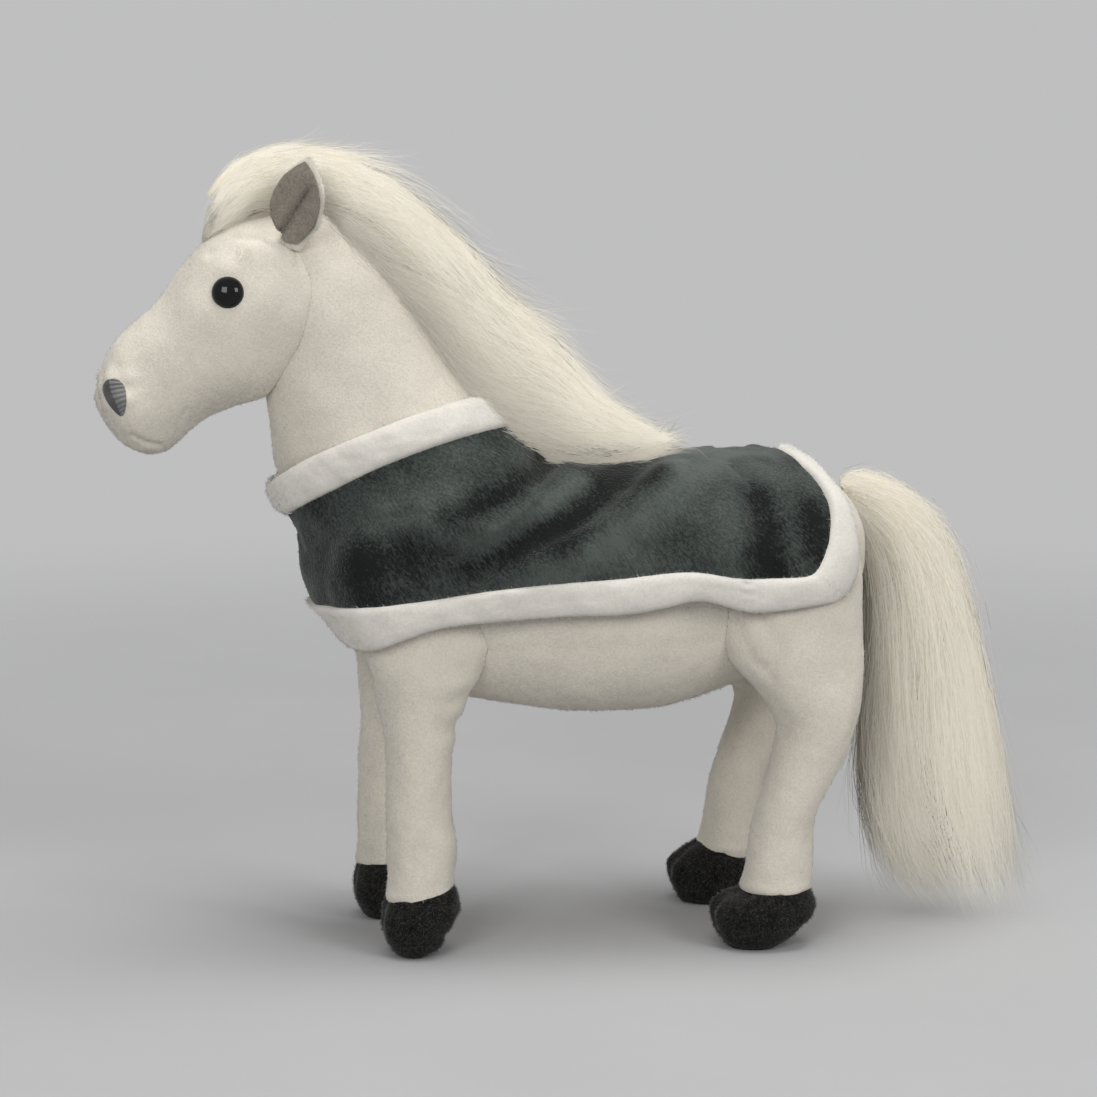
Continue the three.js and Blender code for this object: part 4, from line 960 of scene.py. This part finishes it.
rug = layer("rug_fleece", (strip + outward * (cloth + 0.0001))[tight], (strip + outward * 0.0001)[tight])
rug.data.set_sharp_from_angle(angle=math.radians(60))
# The nap attribute holds the painted shade and light of the folds, -1 to 1.
rug.data.attributes.new("nap", "FLOAT", "POINT").data.foreach_set(
    "value", painted_fold_shade(points_of(rug)).astype(np.float32))
dressed(rug, "rug", finish("rug_fleece", fleece_nap_and_fold_shade, **fleece_look))
mid = strip[tight]
cells = np.cross(mid[1:, 1:] - mid[:-1, :-1], mid[1:, :-1] - mid[:-1, 1:])
rug_middle = (middle_x, 0, 0.19)
# Dark, middle and light copies of the fleece fibre, each where the painted fold shade lies in its range:
# painted shade in the valleys, painted light by the crests.
for name, tone, many, least, most in [
    ("dark", 0.55, 7500, -1.1, -0.2), ("middle", 1.65, 9500, -0.35, 0.35), ("light", 3.6, 7500, 0.15, 1.1),
]:
    fleece_fibre = finish(f"{name}_fleece_fibre", Base_Color=tuple(c * tone for c in fleece), **fleece_look)
    pile(f"rug_{name}_pile", rug, many, 0.0015, (0.55, 0, -0.7), fleece_fibre, 62,
         lambda p, n: ((n * (p - rug_middle)).sum(1) > 0) & (painted_fold_shade(p) > least) & (painted_fold_shade(p) < most),
         0.00028, 0.4, 0.5)
# The border's skin is coloured a little darker than its fibres, as painted shade among the fibres, which
# throw no shadow.
border_plush = finish("border_plush", lambda w: nap(w, (0.7, 0.672, 0.615), 0.9, 700, 90, 0.0005, 0.4),
                      **pile_look)
border_fibre = finish("border_fibre", Base_Color=(0.75, 0.722, 0.665), **pile_look)
corner = lap_steps + int(np.argmin(np.abs(np.hypot(skirt[:, 0] - 0.1035, skirt[:, 1] - 0.181))))
total = strip.shape[1]
for node, columns, which, many in [
    ("neck_border", slice(0, total), slice(0, band_rows), 7600),
    ("left_hem_border", slice(0, corner + 1), slice(rows - band_rows, rows), 7600),
    ("rear_border", slice(corner, total - corner), slice(rows - band_rows, rows), 6200),
    ("right_hem_border", slice(total - corner - 1, total), slice(rows - band_rows, rows), 7600),
]:
    base, out = strip[which, columns], outward[which, columns]
    across = np.linspace(-1, 1, band_rows)[:, None]
    puff = 0.0034 * (1 - np.abs(across) ** 3) ** 0.6
    puff = puff * (1 - 0.45 * bell(base[..., 1], 0.022) * (node == "rear_border"))
    puff = puff * (1 + 0.1 * lumps(base, 63, 0.02)) + 0.0001 * lumps(base, 64, 0.006) + 0.0013
    border = layer(node + "_pile_band", base + out * puff[..., None], base + out * 0.0001)
    border.data.set_sharp_from_angle(angle=math.radians(75))
    dressed(border, node, border_plush)
    pile(node + "_pile", border, many, 0.0023, (0.1, 0, -0.35), border_fibre, 65,
         width=0.00022, rise=0.38, spread=0.6)
for node in ("hook_tape", "loop_tape"):
    covered(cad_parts[node], finish(node + "_weave", lambda w: {
        "Base_Color": w.tint(w.noise(1500, 2), (0.008, 0.008, 0.008), (0.02, 0.02, 0.02))}, Roughness=0.9))


# Hair: long silky white fibre on a woven base, sewn to the crest of the neck, between the ears and at the
# top of the rump. It hangs in locks, thick at the root line and thin and flyaway at the outer edge.
mane_rows = [
    [-0.1, 1.13, -0.1, 1.13, 0], [0.03, 1.2, -0.05, 1.03, 0.27], [0.245, 1.158, 0.105, 0.966, 0.42],
    [0.409, 1.078, 0.181, 0.813, 0.64], [0.566, 0.952, 0.282, 0.648, 0.76],
    [0.695, 0.781, 0.345, 0.472, 0.82], [0.81, 0.586, 0.39, 0.29, 0.85], [0.943, 0.42, 0.53, 0.14, 0.79],
]
forelock_rows = [
    [-0.228, 0.64, -0.228, 0.64, 0], [-0.136, 0.786, -0.159, 0.635, 0.29],
    [-0.006, 0.894, -0.074, 0.647, 0.42], [0.119, 0.935, 0.004, 0.637, 0.45],
    [0.197, 0.897, 0.065, 0.61, 0.32], [0.165, 0.737, 0.165, 0.737, 0],
]
tail_root = np.array([middle_x + 0.4755 * torso_size[0], 0, torso_foot + 0.85 * torso_size[2]])
lowest, lowest_tip, furthest_back = 0.0008, 0.0006, 0.241  # the limits of loose hair


def hair_tone_and_lock_shade(w):
    """A strand's colour along its map, creamy at the root, and a tint across it that darkens some locks:
    painted shade between locks, as the strands throw no shadow.
    """
    where = w.node("ShaderNodeUVMap", {"uv_map": "OFBake"})
    along = w.node("ShaderNodeSeparateXYZ", sockets={0: where}, output=1)
    tone = w.node("ShaderNodeValToRGB", {"stops": [
        (0, (0.61, 0.555, 0.435)), (0.25, (0.7, 0.655, 0.555)), (1, (0.76, 0.73, 0.655))]}, {0: along})
    # Painted shade: a darker tint by lock, in place of the shade between locks.
    own = w.noise(1, 2, 0.7, w.node("ShaderNodeMapping", sockets={0: where, "Scale": (60, 1.5, 1)}))
    return {"Base_Color": w.tint(own.clamped(0.4, 0.66) * 0.75, tone, (0.47, 0.432, 0.352))}


hair_fibre = finish("hair_fibre", hair_tone_and_lock_shade, Roughness=0.55, Sheen_Weight=0.15, Specular_IOR_Level=0.2)


def combed_base(name, tilt):
    """The look of dense hair: fine streaks and broader bands, which run along an axis tilted by degrees.
    Their darker tone is partly painted shade between strands and locks.
    """
    def streaked(w):
        fine = w.noise(1, 2, 0.6, w.place((0.0005, 0.0005, 0.03), tilt))
        broad = w.noise(1, 3, 0.6, w.place((0.003, 0.003, 0.05), tilt))
        # The dark end of the streaks is partly painted shade between strands and locks.
        mask = (fine * 0.5 + broad * 0.5).clamped(0.3, 0.66)
        return {"Base_Color": w.tint(mask, (0.43, 0.395, 0.32), (0.72, 0.68, 0.585)),
                "Normal": w.bump(fine * 0.6 + broad * 0.4, 0.6, 0.0009)}
    return finish(name, streaked, Roughness=0.6, Specular_IOR_Level=0.25)


class Hair:
    """Hair that fills a stuffed form: a place is a share along it, an angle round it and a share of the
    way out from the middle of its section."""

    rings, spokes = 220, 144

    def __init__(self, rows, size, place, poles=(True, True)):
        self.grid = place(stuffed(rows, size, self.rings, self.spokes, poles=poles))
        self.core = (self.grid[:, 0] + self.grid[:, self.spokes // 2]) / 2

    def at(self, along, turn, out):
        """The points at places, and the ways outwards there."""
        u = np.clip(along, 0, 1) * (self.rings - 1)
        i = np.minimum(u.astype(int), self.rings - 2)
        v = (turn / (2 * math.pi) % 1) * self.spokes
        j = v.astype(int) % self.spokes
        fu, fv = (u - i)[..., None], (v - np.floor(v))[..., None]
        ring = lambda k: self.grid[k, j] * (1 - fv) + self.grid[k, (j + 1) % self.spokes] * fv
        skin = ring(i) * (1 - fu) + ring(i + 1) * fu
        core = self.core[i] * (1 - fu) + self.core[i + 1] * fu
        return core + (skin - core) * out[..., None], skin - core

    def base(self, name, share, seed):
        """The dense inner hair: the form drawn in to a share of its width, and uneven."""
        rows = self.core[:, None] + (self.grid - self.core[:, None]) * share
        half = np.linspace(0, self.rings - 1, self.rings // 2).round().astype(int)
        thing = closed(name, rows[half][:, ::2])
        raised(thing, lambda p: 0.0005 * lumps(p, seed, 0.014))
        return thing


def strands(name, paths, outs, width, body, seed, column):
    """Long fibres as closed three-sided tubes: a ring of three corners stands at each point of a path,
    thinner towards the tip, and the strands of a lock have columns of the map beside each other. Their
    shading normals lean towards the hair's outside, and they throw no shadow, as short pile doesn't."""
    rng = np.random.default_rng(seed)
    count, steps = paths.shape[:2]
    forward = unit(np.gradient(paths, axis=1))
    flat = unit(np.cross(forward, outs))
    thick = np.cross(forward, flat)
    t = np.linspace(0, 1, steps)
    swell = 0.55 + 0.45 * np.sin(math.pi * np.clip(t * 1.3, 0, 1))
    size = width * rng.uniform(0.6, 1.3, (count, 1)) * swell
    size = (size * np.clip((1.03 - t) * 3, 0.12, 1))[..., None, None]
    turn = np.array(three_sides)[:, None]
    flatwise, thickwise = np.cos(turn) * flat[:, :, None], np.sin(turn) * thick[:, :, None]
    rings = paths[:, :, None] + size * (flatwise + 0.55 * thickwise)
    tips = paths[:, -1] + (paths[:, -1] - paths[:, -2]) * 0.4
    tips[:, 2] = np.maximum(tips[:, 2], lowest_tip)
    corners = np.concatenate([rings.reshape(count, -1, 3), tips[:, None]], 1)
    side = np.clip(paths[..., 1] / 0.012, -1, 1)
    away = unit(outs) + np.stack([0 * side, 0.8 * side, 0 * side + 0.35], -1)
    lit = 0.7 * away[:, :, None] + 0.3 * (flatwise + thickwise)
    lit = np.concatenate([lit.reshape(count, -1, 3), away[:, -1:]], 1)
    each = 3 * steps + 1
    k = 3 * np.arange(steps - 1)[:, None] + np.arange(3)[None]
    n = 3 * np.arange(steps - 1)[:, None] + (np.arange(3)[None] + 1) % 3
    walls = np.stack([k, n, n + 3, k + 3], -1).reshape(-1, 4)
    ends = np.array([[0, 2, 1], *[[each - 4 + a, each - 4 + (a + 1) % 3, each - 1] for a in range(3)]])
    start = each * np.arange(count)[:, None, None]
    thing = mesh_of(name, corners.reshape(-1, 3), (start + walls).reshape(-1, 4),
                    (start + ends).reshape(-1, 3))
    thing.data.normals_split_custom_set_from_vertices(lit.reshape(-1, 3))
    column = (5 * column + rng.integers(0, 9, count)) % 64

    def shares(corner):
        strand, inner = corner // each, corner % each
        high = np.where(inner == each - 1, 1, (inner // 3) / steps)
        return (column[strand] + 0.3 + 0.2 * (inner % 3)) / 64, 0.01 + 0.98 * high

    mapped(thing, shares)
    thing.data.materials.append(hair_fibre)
    thing.visible_shadow = False
    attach(thing, body)


def combed(hair, name, count, locks, seed, start, length, sweep, out, fly, width=0.00015, steps=6,
           body="horse", wave=0.0018, splay=0.14, lift=0.09, stray=0.006, ends=0.5, sink=0.0):
    """Strands in locks. A lock starts at a share along the hair and runs on for a length, at the angle that
    sweep(share along, share at its start, the lock's own number from -1 to 1) gives. Its strands draw
    together towards its tip. A share of them, fly, leaves the lock and stands off, and sink draws some in
    towards the middle of the hair."""
    rng = np.random.default_rng(seed)
    t = np.linspace(0, 1, steps)[None]
    lock = rng.integers(0, locks, count)
    first = rng.uniform(*start, locks)[lock][:, None] + rng.normal(0, 0.015, (count, 1))
    reach = (rng.uniform(*length, locks)[lock] * rng.uniform(0.6, 1.1, count))[:, None]
    spin = rng.uniform(-1, 1, locks)[lock][:, None]
    loose = (rng.random((count, 1)) < fly) * rng.uniform(0.2, 1, (count, 1)) ** 2
    reach = np.minimum(reach, (0.995 - first) * rng.uniform(ends, 1, (count, 1)))
    along = first + reach * t
    turn = (sweep(along, first, spin) + rng.normal(0, 1, (count, 1)) * splay * (1 - 0.4 * t)
            + loose * rng.normal(0, 0.3, (count, 1)) * t)
    far = rng.uniform(*out, locks)[lock][:, None] * rng.uniform(0.9, 1.05, (count, 1))
    off = (loose * 0.16 + rng.uniform(0, lift, (count, 1))) * t**1.5
    away = far * (0.95 + 0.05 * np.minimum(1, t * 3)) + off
    away = away * (1 - sink * rng.uniform(0, 1, (count, 1)) ** 2 * t)
    paths, outs = hair.at(np.clip(along, 0, 0.999), turn, away)
    phase = rng.uniform(0, 6.3, (3, locks))[:, lock].T[:, None]
    bends = np.sin(t[..., None] * rng.uniform(4, 9, (locks, 1, 1))[lock] + phase)
    own = np.sin(t[..., None] * rng.uniform(4, 12, (count, 1, 1)) + rng.uniform(0, 6.3, (count, 1, 3)))
    paths = paths + (wave * bends + 0.0012 * own) * t[..., None]
    paths = paths + rng.normal(0, 1, (count, 1, 3)) * stray * loose[..., None] * t[..., None] ** 2
    paths[..., 2] = np.maximum(paths[..., 2], lowest)
    paths[..., 0] = np.minimum(paths[..., 0], furthest_back)
    strands(name, paths, outs + 1e-6, width, body, seed + 1, lock)


def fanned(middle, half):
    """A sweep for locks that run straight on, up to half round from a middle, in half turns from the top."""
    return lambda along, first, spin: middle * math.pi + half * math.pi * spin


def mane_sweep(side):
    """From the root line, half a turn from the top, towards the outer edge the further a strand has gone."""
    def sweep(along, first, spin):
        gone_on = 1 - np.exp(-np.maximum(along - first, 0) / 0.3)
        share = np.clip(gone_on * (0.62 + 0.34 * spin) + 0.08 + 0.05 * spin, -0.05, 1.05)
        return math.pi + side * math.pi * share
    return sweep


mane_size, on_neck = (neck_size[0], 0.033, neck_size[2]), lambda g: placed(g, neck_root, neck_lean)
mane = Hair([*mane_rows, [1.04, 0.235, 0.79, 0.02, 0.58], [1.155, 0.12, 1, -0.01, 0.4],
             [1.25, 0.05, 1.17, -0.02, 0.24], [1.35, 0.01, 1.33, -0.02, 0.12]],
            mane_size, on_neck, (True, False))
inner = Hair([*mane_rows, [0.97, 0.3, 0.76, 0.1, 0.48], [1, 0.22, 0.93, 0.13, 0.22],
              [1, 0.18, 1, 0.18, 0]], mane_size, on_neck)
base = inner.base("mane_base", 0.92, 70)
cut_back(base, neck, head, torso)
dressed(base, "mane", combed_base("mane_hair", -40))
for name, side, seed, many in [("left", 1, 71, 5200), ("right", -1, 73, 3400)]:
    combed(mane, f"mane_{name}_locks", many, 110, seed, (0, 0.78), (0.22, 0.5), mane_sweep(side), (0.9, 1.05),
           0.6, wave=0.0024, ends=0.3)
combed(mane, "mane_top_locks", 4300, 190, 75, (0.02, 0.9), (0.1, 0.3), fanned(0, 0.55), (0.9, 1.03), 0.75,
       width=0.00012, splay=0.24, lift=0.42, stray=0.0065)

forelock = Hair(forelock_rows, (head_size[0], 0.033, head_size[2]),
                lambda g: placed(g[::-1], head_root, head_lean))
base = forelock.base("forelock_base", 0.9, 80)
cut_back(base, head, neck)
dressed(base, "forelock", combed_base("forelock_hair", 35))
combed(forelock, "forelock_locks", 2700, 80, 81, (0, 0.4), (0.35, 0.75), fanned(0, 1), (0.9, 1.1), 0.5,
       stray=0.003)
crown_rows = [
    [-0.172, 0.356, -0.167, 0.35, 0], [-0.16, 0.3715, -0.156, 0.344, 0.8],
    [-0.145, 0.3785, -0.142, 0.345, 1], [-0.13, 0.3805, -0.13, 0.35, 1],
    [-0.113, 0.377, -0.113, 0.352, 0.8], [-0.098, 0.366, -0.098, 0.362, 0],
]
crown = Hair(crown_rows, (1, 0.014, 1), lambda g: g)
combed(crown, "crown_locks", 1200, 40, 84, (0, 0.4), (0.4, 0.8), fanned(0, 0.6), (0.8, 1.02), 0.3, lift=0.05,
       stray=0.002)

tail_size, on_rump = (0.089, 0.027, tail_root[2] - 0.004), lambda g: g + tail_root
loose_rows = [
    [-0.045, 0.01, -0.045, -0.01, 0], [-0.03, 0.034, -0.035, -0.045, 0.3], [0.1, 0.038, 0, -0.08, 0.48],
    [0.3, 0.005, 0.05, -0.13, 0.64], [0.5, -0.07, 0.08, -0.21, 0.83], [0.62, -0.19, 0.09, -0.31, 0.95],
    [0.71, -0.32, 0.09, -0.43, 1], [0.79, -0.47, 0.08, -0.55, 1.02], [0.86, -0.62, 0.1, -0.68, 1.04],
    [0.925, -0.76, 0.16, -0.79, 1.04], [0.985, -0.89, 0.28, -0.9, 1], [1.03, -0.985, 0.42, -0.99, 0.95],
]
inner = Hair([*loose_rows[:-5], [0.76, -0.6, 0.18, -0.62, 0.8], [0.7, -0.7, 0.36, -0.71, 0.45],
              [0.56, -0.76, 0.56, -0.76, 0]], tail_size, on_rump)
base = inner.base("tail_base", 0.84, 90)
dressed(base, "tail", combed_base("tail_hair", -12), body="tail")
tail = Hair(loose_rows, tail_size, on_rump, (True, False))
for name, middle, seed, many in [("left", 1.5, 91, 4700), ("right", 0.5, 93, 3900)]:
    combed(tail, f"tail_{name}_locks", many, 150, seed, (-0.1, 0.64), (0.4, 1), fanned(middle, 0.55),
           (0.84, 1.02), 0.5, width=0.00018, steps=7, body="tail", wave=0.0052, lift=0.18, ends=0.88,
           sink=0.8)


low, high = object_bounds()
